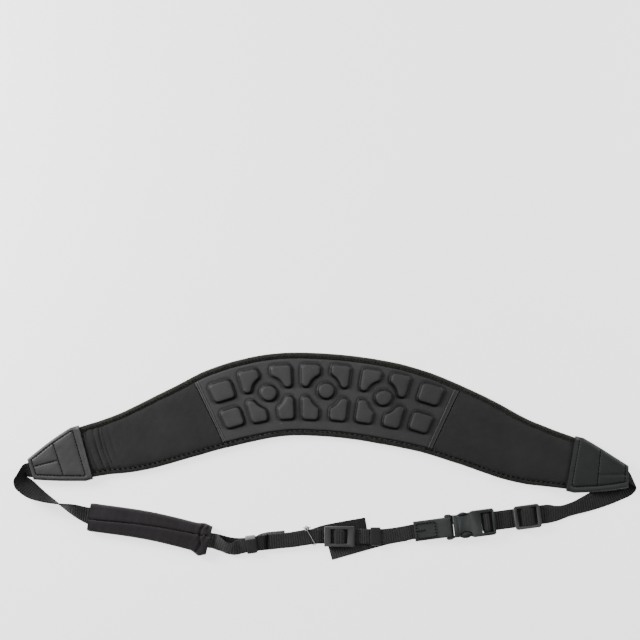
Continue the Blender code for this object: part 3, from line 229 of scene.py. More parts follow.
# Its second layer, which ends past the left keeper
LUG_BACK_OUT = (
    RouteRow(-0.383, 0.800, 0.6),
    RouteRow(-0.350, 0.836, 0.0),
    RouteRow(-0.318, 0.858, 0.0),
)
LUG_BACK_END = (RouteRow(-0.212, 0.792, 0), RouteRow(-0.146, 0.766, 0))
# Webbing from the buckle's tab through the right keeper and the slider to its cut end
LUG_RIGHT_TAB = (RouteRow(0.233, 0.723, 1.0),)
LUG_RIGHT_END = table(
    RouteRow,
    (-0.045, 0.745, 2.0), (-0.090, 0.769, 2.0), (-0.129, 0.790, 2.0), (-0.206, 0.812, 2.3),
)
# Free tail below the slider
TAIL = table(
    RouteRow,
    (0.259, 0.713, 0), (0.205, 0.748, 0), (0.165, 0.785, 0), (0.084, 0.869, 0), (0.004, 0.954, 0),
)

# Hardware stations: where a piece sits on the webbing and which way it points
Station = namedtuple("Station", "x drop heading")
KEEPER_LEFT = Station(-0.260, 0.844, 8.5)
TIE = Station(-0.060, 0.748, 4.0)
SLIDER = Station(0.035, 0.744, 0.0)
KEEPER_RIGHT = Station(0.156, 0.744, 0.0)
BUCKLE = Station(0.474, 0.593, 7.6)

# Worked out from the sizes above
LAYER = max(LUG_THICKNESS, KEEPER_WALL, TIE_DIAMETER) + GAP
MAIN_LAYER = MAIN_THICKNESS + GAP
PANEL_RECESS = PANEL_THICKNESS
CAP_TIP_THICKNESS = MAIN_THICKNESS + 2 * (CAP_LEATHER + GAP)
CAP_MOUTH_THICKNESS = PAD_END_THICKNESS + 2 * (CAP_LEATHER + GAP)
BAR_WRAP = BAR_RADIUS + GAP + MAIN_THICKNESS / 2
TAB_WRAP = BAR_RADIUS + GAP + TAB_LEATHER / 2
SOCKET_BAR_LIFT = MAIN_THICKNESS / 2 + BAR_WRAP
PLUG_BAR_LIFT = TAB_LEATHER / 2 + TAB_WRAP
SLEEVE_LOW = SLEEVE_WALL + GAP


# Layout helpers


def smoothstep(value):
    held = min(1.0, max(0.0, value))
    return held * held * (3 - 2 * held)


def between(low, high, share):
    return low + (high - low) * share


def spline(points):
    """A dense Catmull-Rom curve through the points, with heights that never overshoot."""
    ends = [2 * points[0] - points[1], *points, 2 * points[-1] - points[-2]]
    curve = []
    for before, start, end, after in zip(ends, ends[1:], ends[2:], ends[3:]):
        for step in range(SPLINE_STEPS):
            t = step / SPLINE_STEPS
            point = 0.5 * (
                2 * start
                + (end - before) * t
                + (2 * before - 5 * start + 4 * end - after) * t**2
                + (3 * start - before - 3 * end + after) * t**3
            )
            point.z = between(start.z, end.z, smoothstep(t))
            curve.append(point)
    curve.append(points[-1].copy())
    return curve


def lengths_of(curve):
    total = [0.0]
    for first, second in zip(curve, curve[1:]):
        total.append(total[-1] + (second - first).length)
    return total


def read_off(curve, totals, length):
    """The point at that length along the curve, also past its ends."""
    last = len(curve) - 2
    index = 0
    while index < last and totals[index + 1] < length:
        index += 1
    direction = (curve[index + 1] - curve[index]).normalized()
    return curve[index] + direction * (length - totals[index])


def resample(points, step):
    """The smooth curve through the points, cut into equal steps of about that length."""
    curve = spline(points)
    totals = lengths_of(curve)
    count = max(2, round(totals[-1] / step))
    return [read_off(curve, totals, totals[-1] * i / count) for i in range(count + 1)]


def row_value(rows, along, name):
    """A named column of a width table, read smoothly at that share of the length."""
    places = [row.along for row in rows]
    if along >= places[-1]:
        return getattr(rows[-1], name)
    index = max(i for i, place in enumerate(places) if place <= along)
    first, second = rows[index], rows[index + 1]
    share = (along - first.along) / (second.along - first.along)
    return between(getattr(first, name), getattr(second, name), share)


def plan_point(row):
    return Vector((row.x * HALF_SPAN, -row.drop * LOOP_DROP, 0.0))


def lug_height(level):
    return LUG_THICKNESS / 2 + level * LAYER


def lug_points(rows):
    return [plan_point(row) + Vector((0, 0, lug_height(row.level))) for row in rows]


class Place:
    """A station on the webbing: its own x runs to the right along the webbing, y across it."""

    def __init__(self, station):
        self.origin = plan_point(station)
        angle = math.radians(station.heading)
        self.along = Vector((math.cos(angle), math.sin(angle), 0))
        self.across = Vector((-math.sin(angle), math.cos(angle), 0))

    def at(self, x, y, z):
        return self.origin + self.along * x + self.across * y + Vector((0, 0, z))


class PadLine:
    """The pad's middle line: u runs along it from its middle, v across it, z up."""

    def __init__(self):
        points = [Vector((r.x * HALF_SPAN, r.rise * ARCH_RISE, 0.0)) for r in PAD_LINE]
        self.curve = spline(points)
        self.totals = lengths_of(self.curve)
        self.half = self.totals[-1] / 2
        self.mouth = self.half - CAP_LENGTH

    def direction(self, u):
        reach = PAD_STEP / 2
        ahead = read_off(self.curve, self.totals, self.half + u + reach)
        behind = read_off(self.curve, self.totals, self.half + u - reach)
        return (ahead - behind).normalized()

    def fan(self, u):
        """How far the lines across the pad lean: most at the panel's ends, and square at the caps."""
        past = u - PANEL_SHIFT
        if abs(past) <= PANEL_HALF_LENGTH:
            return PAD_FAN * past / PANEL_HALF_LENGTH
        left = (self.mouth - abs(u)) / (self.mouth - PANEL_HALF_LENGTH - abs(PANEL_SHIFT))
        return math.copysign(PAD_FAN * max(0.0, min(1.0, left)), u)

    def at(self, u, v, z):
        point = read_off(self.curve, self.totals, self.half + u)
        along = self.direction(u)
        return point + along * (self.fan(u) * v) + Vector((-along.y, along.x, 0)) * v + Vector((0, 0, z))

    def cap_share(self, u):
        return (abs(u) - self.mouth) / CAP_LENGTH

    def cap_half(self, u):
        """Half the width of an end cap."""
        past = max(0.0, abs(u) - self.mouth - CAP_SQUARE_LENGTH)
        share = min(1.0, past / (CAP_LENGTH - CAP_SQUARE_LENGTH))
        return between(CAP_MOUTH_WIDTH, CAP_TIP_WIDTH, share) / 2 + CAP_BULGE * math.sin(math.pi * share)

    def cap_base(self, u):
        share = self.cap_share(u)
        return between(CAP_LIFT_MOUTH, CAP_LIFT_TIP, share * (2 - share))

    def cap_thickness(self, u):
        return between(CAP_MOUTH_THICKNESS, CAP_TIP_THICKNESS, self.cap_share(u))

    def pad_half(self, u):
        """Half the width of the bound pad. Inside a cap it follows the cap's taper."""
        side = "left" if u < 0 else "right"
        wide = row_value(PAD_WIDTHS, abs(u) / self.mouth, side) * PAD_WIDTH / 2
        if abs(u) <= self.mouth:
            return wide
        return min(wide, self.cap_half(u) - CAP_LEATHER - GAP)

    def pad_base(self, u):
        held = self.cap_base(u) + CAP_LEATHER + GAP
        if abs(u) >= self.mouth:
            return held
        start = self.mouth - PAD_RISE_LENGTH
        at_mouth = CAP_LIFT_MOUTH + CAP_LEATHER + GAP
        return at_mouth * smoothstep((abs(u) - start) / PAD_RISE_LENGTH)

    def pad_thickness(self, u):
        if abs(u) >= self.mouth:
            return self.cap_thickness(u) - 2 * (CAP_LEATHER + GAP)
        share = smoothstep((abs(u) - self.mouth + PAD_RISE_LENGTH) / PAD_RISE_LENGTH)
        return between(PAD_THICKNESS, PAD_END_THICKNESS, share)

    def panel_half(self, u):
        return self.pad_half(u) - BINDING_FLANGE - GAP


LINE = PadLine()


def arc(centre, radius, start, end, steps):
    turns = [between(start, end, i / steps) for i in range(steps + 1)]
    return [(centre[0] + radius * math.cos(t), centre[1] + radius * math.sin(t)) for t in turns]


def wedge_outline(foot, top, inset):
    """Outline of the block to the left of and above a stud at the origin, with a concave side about it."""
    radius = CORNER_RADIUS - inset / 2
    edge = inset + radius
    outer, inner = -WEDGE_OUTER + edge, -WEDGE_INNER - edge
    low, high = foot + edge, top - edge
    ring = RING_RADIUS + edge
    side_angle = math.acos(inner / ring)
    foot_angle = math.pi - math.asin(low / ring)
    side_corner = (inner, ring * math.sin(side_angle))
    foot_corner = (ring * math.cos(foot_angle), low)
    points = arc((outer, high), radius, math.pi, math.pi / 2, CORNER_STEPS)
    points += arc((inner, high), radius, math.pi / 2, 0.0, CORNER_STEPS)
    points += arc(side_corner, radius, 0.0, side_angle - math.pi, CORNER_STEPS)
    points += arc((0.0, 0.0), ring - radius, side_angle, foot_angle, 4)[1:-1]
    points += arc(foot_corner, radius, foot_angle - math.pi, -math.pi / 2, CORNER_STEPS)
    points += arc((outer, low), radius, -math.pi / 2, -math.pi, CORNER_STEPS)
    return points


def stud_outline(inset):
    return arc((0.0, 0.0), STUD_RADIUS - inset, 0.0, 2 * math.pi, 16)[:-1]


def tile_outline(height, inset):
    return rounded_box(TILE_WIDTH / 2 - inset, height / 2 - inset, CORNER_RADIUS - inset / 2)


def relief_shapes():
    """Every raised block: the function of its inset outline, its middle in u and v, and its mirroring."""
    places = [RELIEF_SHIFT + (index - (len(STUDS) - 1) / 2) * STUD_PITCH for index in range(len(STUDS))]
    shapes = [(stud_outline, u, RELIEF_RISE + row.rise, 1, 1) for u, row in zip(places, STUDS)]
    upper = lambda inset: wedge_outline(UPPER_WEDGE_FOOT, UPPER_WEDGE_TOP, inset)
    lower = lambda inset: wedge_outline(LOWER_WEDGE_FOOT, LOWER_WEDGE_TOP, inset)
    for row in WEDGES:
        wedge = upper if row.row > 0 else lower
        shapes.append((wedge, places[row.stud] + row.shift, RELIEF_RISE + row.rise, -row.side, row.row))
    for row in TILES:
        height = TILE_UPPER_HEIGHT if row.row > 0 else TILE_LOWER_HEIGHT
        tile = lambda inset, height=height: tile_outline(height, inset)
        v = RELIEF_RISE / 2 + row.row * (TILE_GAP + height) / 2 + row.rise
        shapes.append((tile, RELIEF_SHIFT + row.side * TILE_DISTANCE + row.shift, v, 1, 1))
    return shapes


def rounded_box(half_x, half_y, radius, steps=CORNER_STEPS):
    """Corners of a rounded rectangle about the origin, anticlockwise."""
    points = []
    for turn, (sx, sy) in enumerate(((1, 1), (-1, 1), (-1, -1), (1, -1))):
        for step in range(steps + 1):
            angle = math.pi / 2 * (turn + step / steps)
            x = sx * (half_x - radius) + radius * math.cos(angle)
            points.append((x, sy * (half_y - radius) + radius * math.sin(angle)))
    return points


Stop = namedtuple("Stop", "point normal half_line")


def flat(points, up=1.0):
    return [Stop(point, Vector((0, 0, up)), None) for point in points]


def leaning(points, shares, width, lean):
    """Loose webbing that leans over where its share lies between 0 and 1, resting on its lower edge."""
    stations = []
    for index, (point, share) in enumerate(zip(points, shares)):
        tangent = (points[min(index + 1, len(points) - 1)] - points[max(index - 1, 0)]).normalized()
        left = Vector((-tangent.y, tangent.x, 0)).normalized()
        turn = math.radians(lean) * math.sin(math.pi * max(0.0, min(1.0, share))) ** 2
        normal = Vector((0, 0, math.cos(turn))) - left * math.sin(turn)
        stations.append(Stop(point + Vector((0, 0, abs(math.sin(turn)) * width / 2)), normal, None))
    return stations


def weave(points, place, bar_half, window_half, rise):
    """Lifts the points over a centre bar, between the end bars of a slider."""
    woven = []
    for point in points:
        distance = abs((point - place.origin).dot(place.along))
        share = 1 - smoothstep((distance - bar_half) / (window_half - bar_half))
        woven.append(point + Vector((0, 0, rise * share)))
    return woven


def straight(place, start, end, z, step):
    count = max(1, round(abs(end - start) / step))
    return [place.at(between(start, end, i / count), 0, z) for i in range(count + 1)]


def sleeve_curve():
    return resample([plan_point(row) for row in SLEEVE_LINE], WEB_STEP)


def keeper_points(place, level, reach):
    z = lug_height(level)
    return [place.at(x, 0, z) for x in (-reach, 0, reach)]


def lug_ribbon(name, stations):
    ribbon(name, stations, LUG_WIDTH, LUG_THICKNESS, WEBBING)


def lug_webbings():
    """The narrow webbings between the sleeve and the buckle's tab."""
    keeper, slider = Place(KEEPER_LEFT), Place(SLIDER)
    second, tie = Place(KEEPER_RIGHT), Place(TIE)
    reach = KEEPER_LENGTH / 2 + WEB_STEP / 2
    line = sleeve_curve()
    middle = line[len(line) // 2]
    ahead = (line[-1] - line[0]).normalized()
    high = SLEEVE_LOW + MAIN_LAYER + LUG_THICKNESS / 2
    low = SLEEVE_LOW + LUG_THICKNESS / 2
    front = [p + Vector((0, 0, high)) for p in (middle - ahead * SLEEVE_OVERLAP, middle, line[-1])]
    front += lug_points(LUG_LEFT_OUT) + keeper_points(keeper, 2, reach)
    front += lug_points(LUG_LEFT_ON)
    front += [tie.at(share * TIE_SLANT / 2, 0, lug_height(1)) for share in (-1, 0.5)]
    front += lug_points(LUG_LEFT_END)
    front = resample(front, WEB_STEP)
    free = keeper.at(-reach, 0, 0) - line[-1]
    shares = [(p - line[-1]).dot(free) / free.length_squared for p in front]
    lug_ribbon("lug_webbing_left", leaning(front, shares, LUG_WIDTH, LUG_LEAN))

    inner_end = middle + ahead * (SLEEVE_OVERLAP + WEB_STEP)
    back = [p + Vector((0, 0, low)) for p in (inner_end, line[-1])]
    back += lug_points(LUG_BACK_OUT) + keeper_points(keeper, 1, reach) + lug_points(LUG_BACK_END)
    lug_ribbon("lug_webbing_back", flat(resample(back, WEB_STEP)))

    buckle = Place(BUCKLE)
    held = TAB_LEATHER + GAP + LUG_THICKNESS / 2
    tab_end = PLUG_BAR_DISTANCE + TAB_LENGTH
    start = [buckle.at(-tab_end + TAB_GRIP, 0, held), buckle.at(-tab_end, 0, held)]
    start += lug_points(LUG_RIGHT_TAB) + keeper_points(second, 2, reach)[::-1]
    window = CENTRE_BARS.length / 2 - CENTRE_BARS.end_bar
    level_one = lug_height(1)
    entry = slider.at(CENTRE_BARS.length / 2, 0, level_one)
    stations = resample(start + [entry], WEB_STEP)
    woven = straight(slider, CENTRE_BARS.length / 2, -CENTRE_BARS.length / 2, level_one, WEB_STEP / 4)
    rise = CENTRE_BARS.bar_height + 2 * GAP + LUG_THICKNESS
    stations += weave(woven[1:], slider, CENTRE_BARS.bar_width / 2 + GAP, window, rise)
    stations += resample([woven[-1]] + lug_points(LUG_RIGHT_END), WEB_STEP)[1:]
    lug_ribbon("lug_webbing_right", flat(stations))
    lug_ribbon("lug_webbing_tail", flat(resample(lug_points(TAIL), WEB_STEP)))


# Where the layout sits in the row frame

MIDDLE = (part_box("keeper_right")[0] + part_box("keeper_right")[1]) / 2
SHIFT = Vector((MIDDLE.x, MIDDLE.y, 0)) - Place(KEEPER_RIGHT).origin
SHIFT_ROW = np.array(SHIFT)
TABLE_GAP = 0.00005  # lowest height of any point above the table


# Materials


class Nodes:
    """Short words for building a node material."""

    def __init__(self, name, colour, roughness):
        made = bpy.data.materials.new(name)
        made.use_nodes = True
        self.made, self.tree = made, made.node_tree
        self.shader = self.tree.nodes["Principled BSDF"]
        self.set("Base Color", (*colour, 1.0))
        self.set("Roughness", roughness)
        coords = self.new("UVMap")
        coords.uv_map = "along"
        split = self.new("SeparateXYZ")
        self.join(coords.outputs["UV"], split.inputs[0])
        self.u, self.v = split.outputs["X"], split.outputs["Y"]
        self.place = self.new("TexCoord").outputs["Object"]
        # The tone attribute: painted light and shade on each piece, which scales its colour and its shine.
        tone_source = self.new("Attribute")
        tone_source.attribute_name = "tone"
        self.tone = tone_source.outputs["Fac"]

    def new(self, kind, **values):
        """A new node, with numbers in some of its sockets."""
        node = self.tree.nodes.new("ShaderNode" + kind)
        for name, value in values.items():
            node.inputs[name].default_value = value
        return node

    def set(self, name, value):
        self.shader.inputs[name].default_value = value

    def join(self, source, target):
        self.tree.links.new(source, target)

    def math(self, operation, first, second=0.0, third=0.0):
        node = self.new("Math")
        node.operation = operation
        for socket, value in zip(node.inputs, (first, second, third)):
            if isinstance(value, (int, float)):
                socket.default_value = value
            else:
                self.join(value, socket)
        return node.outputs[0]

    def dull(self, name, value):
        """A shine that is lost where the tone is dark, so that painted shade also darkens the reflection.
        """
        share = self.math("MINIMUM", self.tone, 1.0)
        self.join(self.math("MULTIPLY", share, value), self.shader.inputs[name])

    def wave(self, along, pitch):
        """A sine of the coordinate between 0 and 1."""
        turned = self.math("MULTIPLY", along, 2 * math.pi / pitch)
        return self.math("MULTIPLY_ADD", self.math("SINE", turned), 0.5, 0.5)

    def noise(self, scale, detail=2.0, roughness=0.5):
        node = self.new("TexNoise", Scale=scale, Detail=detail, Roughness=roughness)
        self.join(self.place, node.inputs["Vector"])
        return node.outputs["Fac"]

    def cells(self, scale):
        """Distance from the borders of irregular cells."""
        node = self.new("TexVoronoi")
        node.feature = "DISTANCE_TO_EDGE"
        node.inputs["Scale"].default_value = scale
        self.join(self.place, node.inputs["Vector"])
        return node.outputs["Distance"]

    def ramp(self, source, stops):
        node = self.new("ValToRGB")
        points = node.color_ramp.elements
        while len(points) < len(stops):
            points.new(0.5)
        for point, (where, colour) in zip(points, stops):
            point.position = where
            point.color = (*colour, 1.0)
        self.join(source, node.inputs[0])
        return node.outputs["Color"]

    def mixed(self, first, share, second, other):
        """The sum of the two, each times its share."""
        return self.math("MULTIPLY_ADD", first, share, self.math("MULTIPLY", second, other))

    def tint(self, source, colour, low, high):
        """The colour times a factor, between two values of the source: each a pair of value and factor."""
        return self.ramp(source, [(where, shade(colour, factor)) for where, factor in (low, high)])

    def bump(self, height, distance, strength=1.0):
        node = self.new("Bump", Strength=strength, Distance=distance)
        self.join(height, node.inputs["Height"])
        return node.outputs["Normal"]

    def finish(self, colour, roughness, normal):
        # Painted light and shade: the colour times the tone.
        scaled = self.new("VectorMath")
        scaled.operation = "SCALE"
        self.join(colour, scaled.inputs[0])
        self.join(self.tone, scaled.inputs["Scale"])
        self.join(scaled.outputs["Vector"], self.shader.inputs["Base Color"])
        if roughness:
            self.join(roughness, self.shader.inputs["Roughness"])
        self.join(normal, self.shader.inputs["Normal"])
        return self.made


def shade(colour, factor):
    return tuple(min(1.0, c * factor) for c in colour)


def fabric(name, colour):
    """Knitted jersey laminated to foam: staggered loops in columns, with a soft sheen."""
    n = Nodes(name, colour, 0.9)
    n.set("Sheen Weight", 0.25)
    n.set("Sheen Roughness", 0.45)
    n.set("Specular IOR Level", 0.25)
    pitch = 0.0007
    slant = n.math("MULTIPLY", n.math("PINGPONG", n.v, pitch), 0.9)
    rows = n.wave(n.math("ADD", n.u, slant), pitch)
    columns = n.wave(n.v, pitch)
    loops = n.math("MULTIPLY", rows, columns)
    patches = n.noise(55.0, 3.0)
    fuzz = n.noise(2600.0, 2.0)
    tint = n.tint(n.mixed(patches, 0.5, fuzz, 0.5), colour, (0.30, 0.78), (0.70, 1.25))
    height = n.math("MULTIPLY_ADD", fuzz, 0.8, loops)
    return n.finish(tint, None, n.bump(height, 0.00009, 0.7))


def tape(name, colour, cast):
    """Woven edge tape: fine cross ribs, and a cast where it wears."""
    n = Nodes(name, colour, 0.88)
    n.set("Sheen Weight", 0.15)
    n.set("Specular IOR Level", 0.3)
    ribs = n.wave(n.u, 0.00085)
    threads = n.wave(n.v, 0.0006)
    fuzz = n.noise(1900.0, 2.0)
    tone_source = n.noise(260.0, 4.0, 0.6)
    warm = tuple(c * factor for c, factor in zip(colour, cast))
    tint = n.ramp(tone_source, ((0.35, shade(colour, 0.8)), (0.62, warm)))
    height = n.math("ADD", n.math("MULTIPLY", ribs, n.math("MULTIPLY_ADD", threads, 0.4, 0.6)), fuzz)
    return n.finish(tint, None, n.bump(height, 0.00010, 0.8))


def webbing(name, colour):
    """Nylon webbing: cross ribs broken into staggered columns of yarn."""
    n = Nodes(name, colour, 0.72)
    n.dull("Sheen Weight", 0.08)
    n.dull("Specular IOR Level", 0.28)
    column = 0.0010
    step = n.math("FLOOR", n.math("DIVIDE", n.v, column))
    odd = n.math("MODULO", step, 2.0)
    shifted = n.math("MULTIPLY_ADD", odd, WEBBING_RIB / 8, n.u)
    ribs = n.math("POWER", n.wave(shifted, WEBBING_RIB), 0.6)
    across = n.math("SINE", n.math("MULTIPLY", n.v, math.pi / column))
    yarn = n.math("POWER", n.math("ABSOLUTE", across), 0.5)
    weave = n.math("MULTIPLY", ribs, yarn)
    fuzz = n.noise(2200.0, 2.0)
    tone_source = n.noise(120.0, 4.0, 0.6)
    tint = n.tint(n.mixed(weave, 0.65, tone_source, 0.35), colour, (0.15, 0.50), (0.75, 1.40))
    height = n.math("MULTIPLY_ADD", fuzz, 0.35, weave)
    return n.finish(tint, None, n.bump(height, 0.00022, 0.9))


def foam(name, colour):
    """Moulded foam with a fine pebbled skin, a little shine and dusty bright specks."""
    n = Nodes(name, colour, 0.6)
    n.set("Specular IOR Level", 0.32)
    grain = n.cells(1500.0)
    clouds = n.noise(45.0, 4.0, 0.6)
    fine = n.noise(1500.0, 3.0)
    tint = n.tint(n.mixed(clouds, 0.7, fine, 0.3), colour, (0.3, 0.82), (0.7, 1.15))
    specks = n.ramp(n.noise(700.0, 1.0), ((0.74, (0, 0, 0)), (0.80, (0.09, 0.09, 0.09))))
    dusty = n.new("Mix")
    dusty.data_type = "RGBA"
    dusty.blend_type = "ADD"
    dusty.inputs["Factor"].default_value = 1.0
    n.join(tint, dusty.inputs["A"])
    n.join(specks, dusty.inputs["B"])
    gloss = n.math("MULTIPLY_ADD", clouds, 0.2, 0.46)
    height = n.math("MULTIPLY_ADD", fine, 0.25, n.math("MINIMUM", grain, 0.25))
    return n.finish(dusty.outputs["Result"], gloss, n.bump(height, 0.00012, 0.5))


def leather(name, colour):
    """Leatherette: irregular pores and soft creases, shinier on the high spots."""
    n = Nodes(name, colour, 0.5)
    n.set("Specular IOR Level", 0.4)
    pores = n.cells(900.0)
    creases = n.noise(300.0, 4.0, 0.6)
    clouds = n.noise(60.0, 3.0)
    tint = n.tint(n.mixed(clouds, 0.6, creases, 0.4), colour, (0.3, 0.84), (0.7, 1.14))
    height = n.math("MULTIPLY_ADD", creases, 0.9, n.math("MINIMUM", pores, 0.3))
    gloss = n.math("MULTIPLY_ADD", creases, 0.3, 0.40)
    return n.finish(tint, gloss, n.bump(height, 0.00016, 0.55))


def plastic(name, colour, roughness=0.36):
    """Moulded acetal: a faint orange peel and slightly uneven shine."""
    n = Nodes(name, colour, roughness)
    n.set("Specular IOR Level", 0.55)
    peel = n.noise(900.0, 3.0)
    clouds = n.noise(90.0, 3.0)
    tint = n.tint(clouds, colour, (0.3, 0.9), (0.7, 1.1))
    gloss = n.math("MULTIPLY_ADD", clouds, 0.22, roughness - 0.1)
    return n.finish(tint, gloss, n.bump(peel, 0.00005, 0.35))


def thread(name, colour, roughness=0.55):
    """Twisted sewing thread."""
    n = Nodes(name, colour, roughness)
    n.set("Sheen Weight", 0.05)
    n.set("Specular IOR Level", 0.2)
    twist = n.wave(n.math("MULTIPLY_ADD", n.v, 1.2, n.u), 0.0006)
    fuzz = n.noise(3000.0, 2.0)
    tint = n.tint(twist, colour, (0.2, 0.7), (0.8, 1.2))
    return n.finish(tint, None, n.bump(n.math("ADD", twist, fuzz), 0.00006, 0.8))


JERSEY = fabric("jersey", (0.0272, 0.0270, 0.0282))
SLEEVE_JERSEY = fabric("sleeve_jersey", (0.023, 0.020, 0.0225))
EDGE_UPPER = tape("edge_weave_upper", (0.013, 0.0135, 0.0122), (1.7, 1.8, 1.35))
EDGE_LOWER = tape("edge_weave_lower", (0.013, 0.013, 0.0128), (1.7, 1.7, 1.6))
FOAM = foam("panel_foam", (0.0458, 0.0468, 0.0462))
LEFT_LEATHER = leather("left_leather", (0.0468, 0.0470, 0.0480))
RIGHT_LEATHER = leather("right_leather", (0.0200, 0.0224, 0.0222))
TAB_LOOK = leather("tab_leather", (0.040, 0.0435, 0.0425))
KEEPER_LOOK = leather("keeper_leather", (0.0172, 0.0172, 0.0170))
WEBBING = webbing("black_webbing", (0.0240, 0.0236, 0.0233))
BUCKLE_LOOK = plastic("buckle_acetal", (0.0335, 0.039, 0.038))
# A darker copy of the buckle's acetal: painted shade, on the press pads in their hollows and on dark
# sheets in the buckle's slots.
SHADED_ACETAL = plastic("shaded_acetal", (0.014, 0.015, 0.015), 0.4)
SLIDER_LOOK = plastic("slider_acetal", (0.050, 0.0505, 0.050), 0.42)
GLIDE_LOOK = plastic("glide_acetal", (0.062, 0.063, 0.061), 0.38)
BLACK_THREAD = thread("black_thread", (0.0022, 0.0022, 0.0024), 0.9)
PALE_THREAD = thread("pale_twine", (0.36, 0.36, 0.34), 0.5)


# Making pieces


def give_tone(mesh, tone=1.0):
    """A factor on the colour at each vertex, for painted light and shade: painted highlights, and painted
    shade in grooves and under folds.
    """
    values = np.ones(len(mesh.vertices)) * np.ravel(tone)
    mesh.attributes.new("tone", "FLOAT", "POINT").data.foreach_set("value", values.astype(np.float32))


def lay_uvs(mesh, uvs):
    """The uv layer that the materials read, from a pair for each vertex: along and across, in metres."""
    corner = np.zeros(len(mesh.loops), dtype=np.int32)
    mesh.loops.foreach_get("vertex_index", corner)
    layer = mesh.uv_layers.new(name="along")
    layer.data.foreach_set("uv", uvs[corner].astype(np.float32).ravel())


def placed(name, data):
    """A new object in the scene."""
    obj = bpy.data.objects.new(name, data)
    bpy.context.scene.collection.objects.link(obj)
    return obj


def piece(name, look, points, faces, node=None, uvs=None, tone=1.0):
    """A mesh object in the row frame that rides on the strap and may stand for a CAD node."""
    mesh = bpy.data.meshes.new(name)
    spots = np.array(points, dtype=float)
    spots[:, 2] = np.maximum(spots[:, 2], TABLE_GAP)
    mesh.from_pydata(spots.tolist(), [], faces)
    if uvs is not None:
        lay_uvs(mesh, np.asarray(uvs))
    mesh.materials.append(look)
    give_tone(mesh, tone)
    mesh.shade_smooth()
    obj = placed(name, mesh)
    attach(obj, "root")
    if node:
        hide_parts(node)
    return obj


def outward(obj):
    """Turns the faces of a closed mesh outwards."""
    grid = bmesh.new()
    grid.from_mesh(obj.data)
    bmesh.ops.recalc_face_normals(grid, faces=grid.faces)
    grid.to_mesh(obj.data)
    grid.free()
    return obj


def cumulative(points):
    """Length along the points at each of them."""
    gaps = np.linalg.norm(np.diff(points, axis=0), axis=1)
    return np.concatenate(([0.0], np.cumsum(gaps)))


def tube(name, look, rings, node=None, hoop=False, tone=1.0):
    """A closed section swept through rings: an array of rings by points by 3, in layout coordinates."""
    rings = np.asarray(rings, dtype=float) + SHIFT_ROW
    count, around = rings.shape[:2]
    along = cumulative(rings.mean(axis=1))
    across = cumulative(np.vstack([rings[count // 2], rings[count // 2][:1]]))[:-1]
    uvs = np.stack(np.meshgrid(along, across, indexing="ij"), axis=-1).reshape(-1, 2)
    index = np.arange(count * around).reshape(count, around)
    nexts = np.roll(index, -1, axis=1)
    a, b = (index, nexts) if hoop else (index[:-1], nexts[:-1])
    c, d = (np.roll(nexts, -1, 0), np.roll(index, -1, 0)) if hoop else (nexts[1:], index[1:])
    faces = np.stack([a, b, c, d], axis=-1).reshape(-1, 4).tolist()
    if not hoop:
        faces.append(index[0][::-1].tolist())
        faces.append(index[-1].tolist())
    return outward(piece(name, look, rings.reshape(-1, 3), faces, node, uvs, tone=tone))


def hill(offset, wide):
    """1 where the offset is nothing, falling away smoothly over the width on both sides."""
    return np.exp(-((offset / wide) ** 2))


def fading(distance, reach):
    """1 up to where the distance is nothing, then falling away."""
    return np.exp(-np.clip(distance, 0, None) / reach)


def shares_across(count):
    """Shares from -1 to 1, closer together towards both edges."""
    return np.sin(np.linspace(-math.pi / 2, math.pi / 2, count))


def soft_noise(first, second, seed):
    """A smooth and repeatable unevenness between about -1 and 1, from two arrays in metres."""
    total = 0.0
    for i, pitch in enumerate((0.047, 0.029, 0.017, 0.0105)):
        turn = 1.7 * seed + 2.4 * i
        ahead = first * math.cos(turn) + second * math.sin(turn)
        aside = second * math.cos(turn + 0.6) - first * math.sin(turn + 0.6)
        total = total + np.sin(2 * math.pi * ahead / pitch + seed * (i + 1)) * np.cos(
            2 * math.pi * aside / (pitch * 1.3) + turn
        ) * (0.5 if i else 0.8)
    return total / 2


# Webbing and other ribbons


def dense(stations, width, step):
    """The stations smoothed and close together, as arrays of points, half lines and normals."""
    rows, last = [], len(stations) - 1
    for index, (point, normal, half) in enumerate(stations):
        if half is None:
            before = stations[max(0, index - 1)].point
            after = stations[min(last, index + 1)].point
            half = normal.cross((after - before).normalized()).normalized() * width / 2
        upright = (normal - half * (normal.dot(half) / half.length_squared)).normalized()
        rows.append([*point, *half, *upright])
    rows = np.array(rows)
    keep = np.concatenate(([True], np.linalg.norm(np.diff(rows[:, :3], axis=0), axis=1) > 1e-5))
    rows = rows[keep]
    place = cumulative(rows[:, :3])
    slopes = np.gradient(rows, place, axis=0)
    count = max(3, int(place[-1] / step))
    at = np.linspace(0, place[-1], count + 1)
    low = np.clip(np.searchsorted(place, at, side="right") - 1, 0, len(place) - 2)
    gap = place[low + 1] - place[low]
    t = ((at - place[low]) / gap)[:, None]
    gap = gap[:, None]
    first, second = rows[low], rows[low + 1]
    bend_a, bend_b = slopes[low] * gap, slopes[low + 1] * gap
    smooth = (
        (2 * t**3 - 3 * t**2 + 1) * first
        + (t**3 - 2 * t**2 + t) * bend_a
        + (3 * t**2 - 2 * t**3) * second
        + (t**3 - t**2) * bend_b
    )
    points, halves, normals = smooth[:, :3], smooth[:, 3:6], smooth[:, 6:]
    normals = normals / np.linalg.norm(normals, axis=1)[:, None]
    return points, halves, normals, at


def ribbon_section(across, crown):
    """Shares across and heights, from 0 to 1, round a strap with rounded edges."""
    shares = shares_across(across)
    heights = (1 - np.abs(shares) ** 9) ** 0.5 * (1 - crown * shares**2)
    top = list(zip(shares, heights))
    return np.array(top + [(share, -height) for share, height in top[-2:0:-1]])
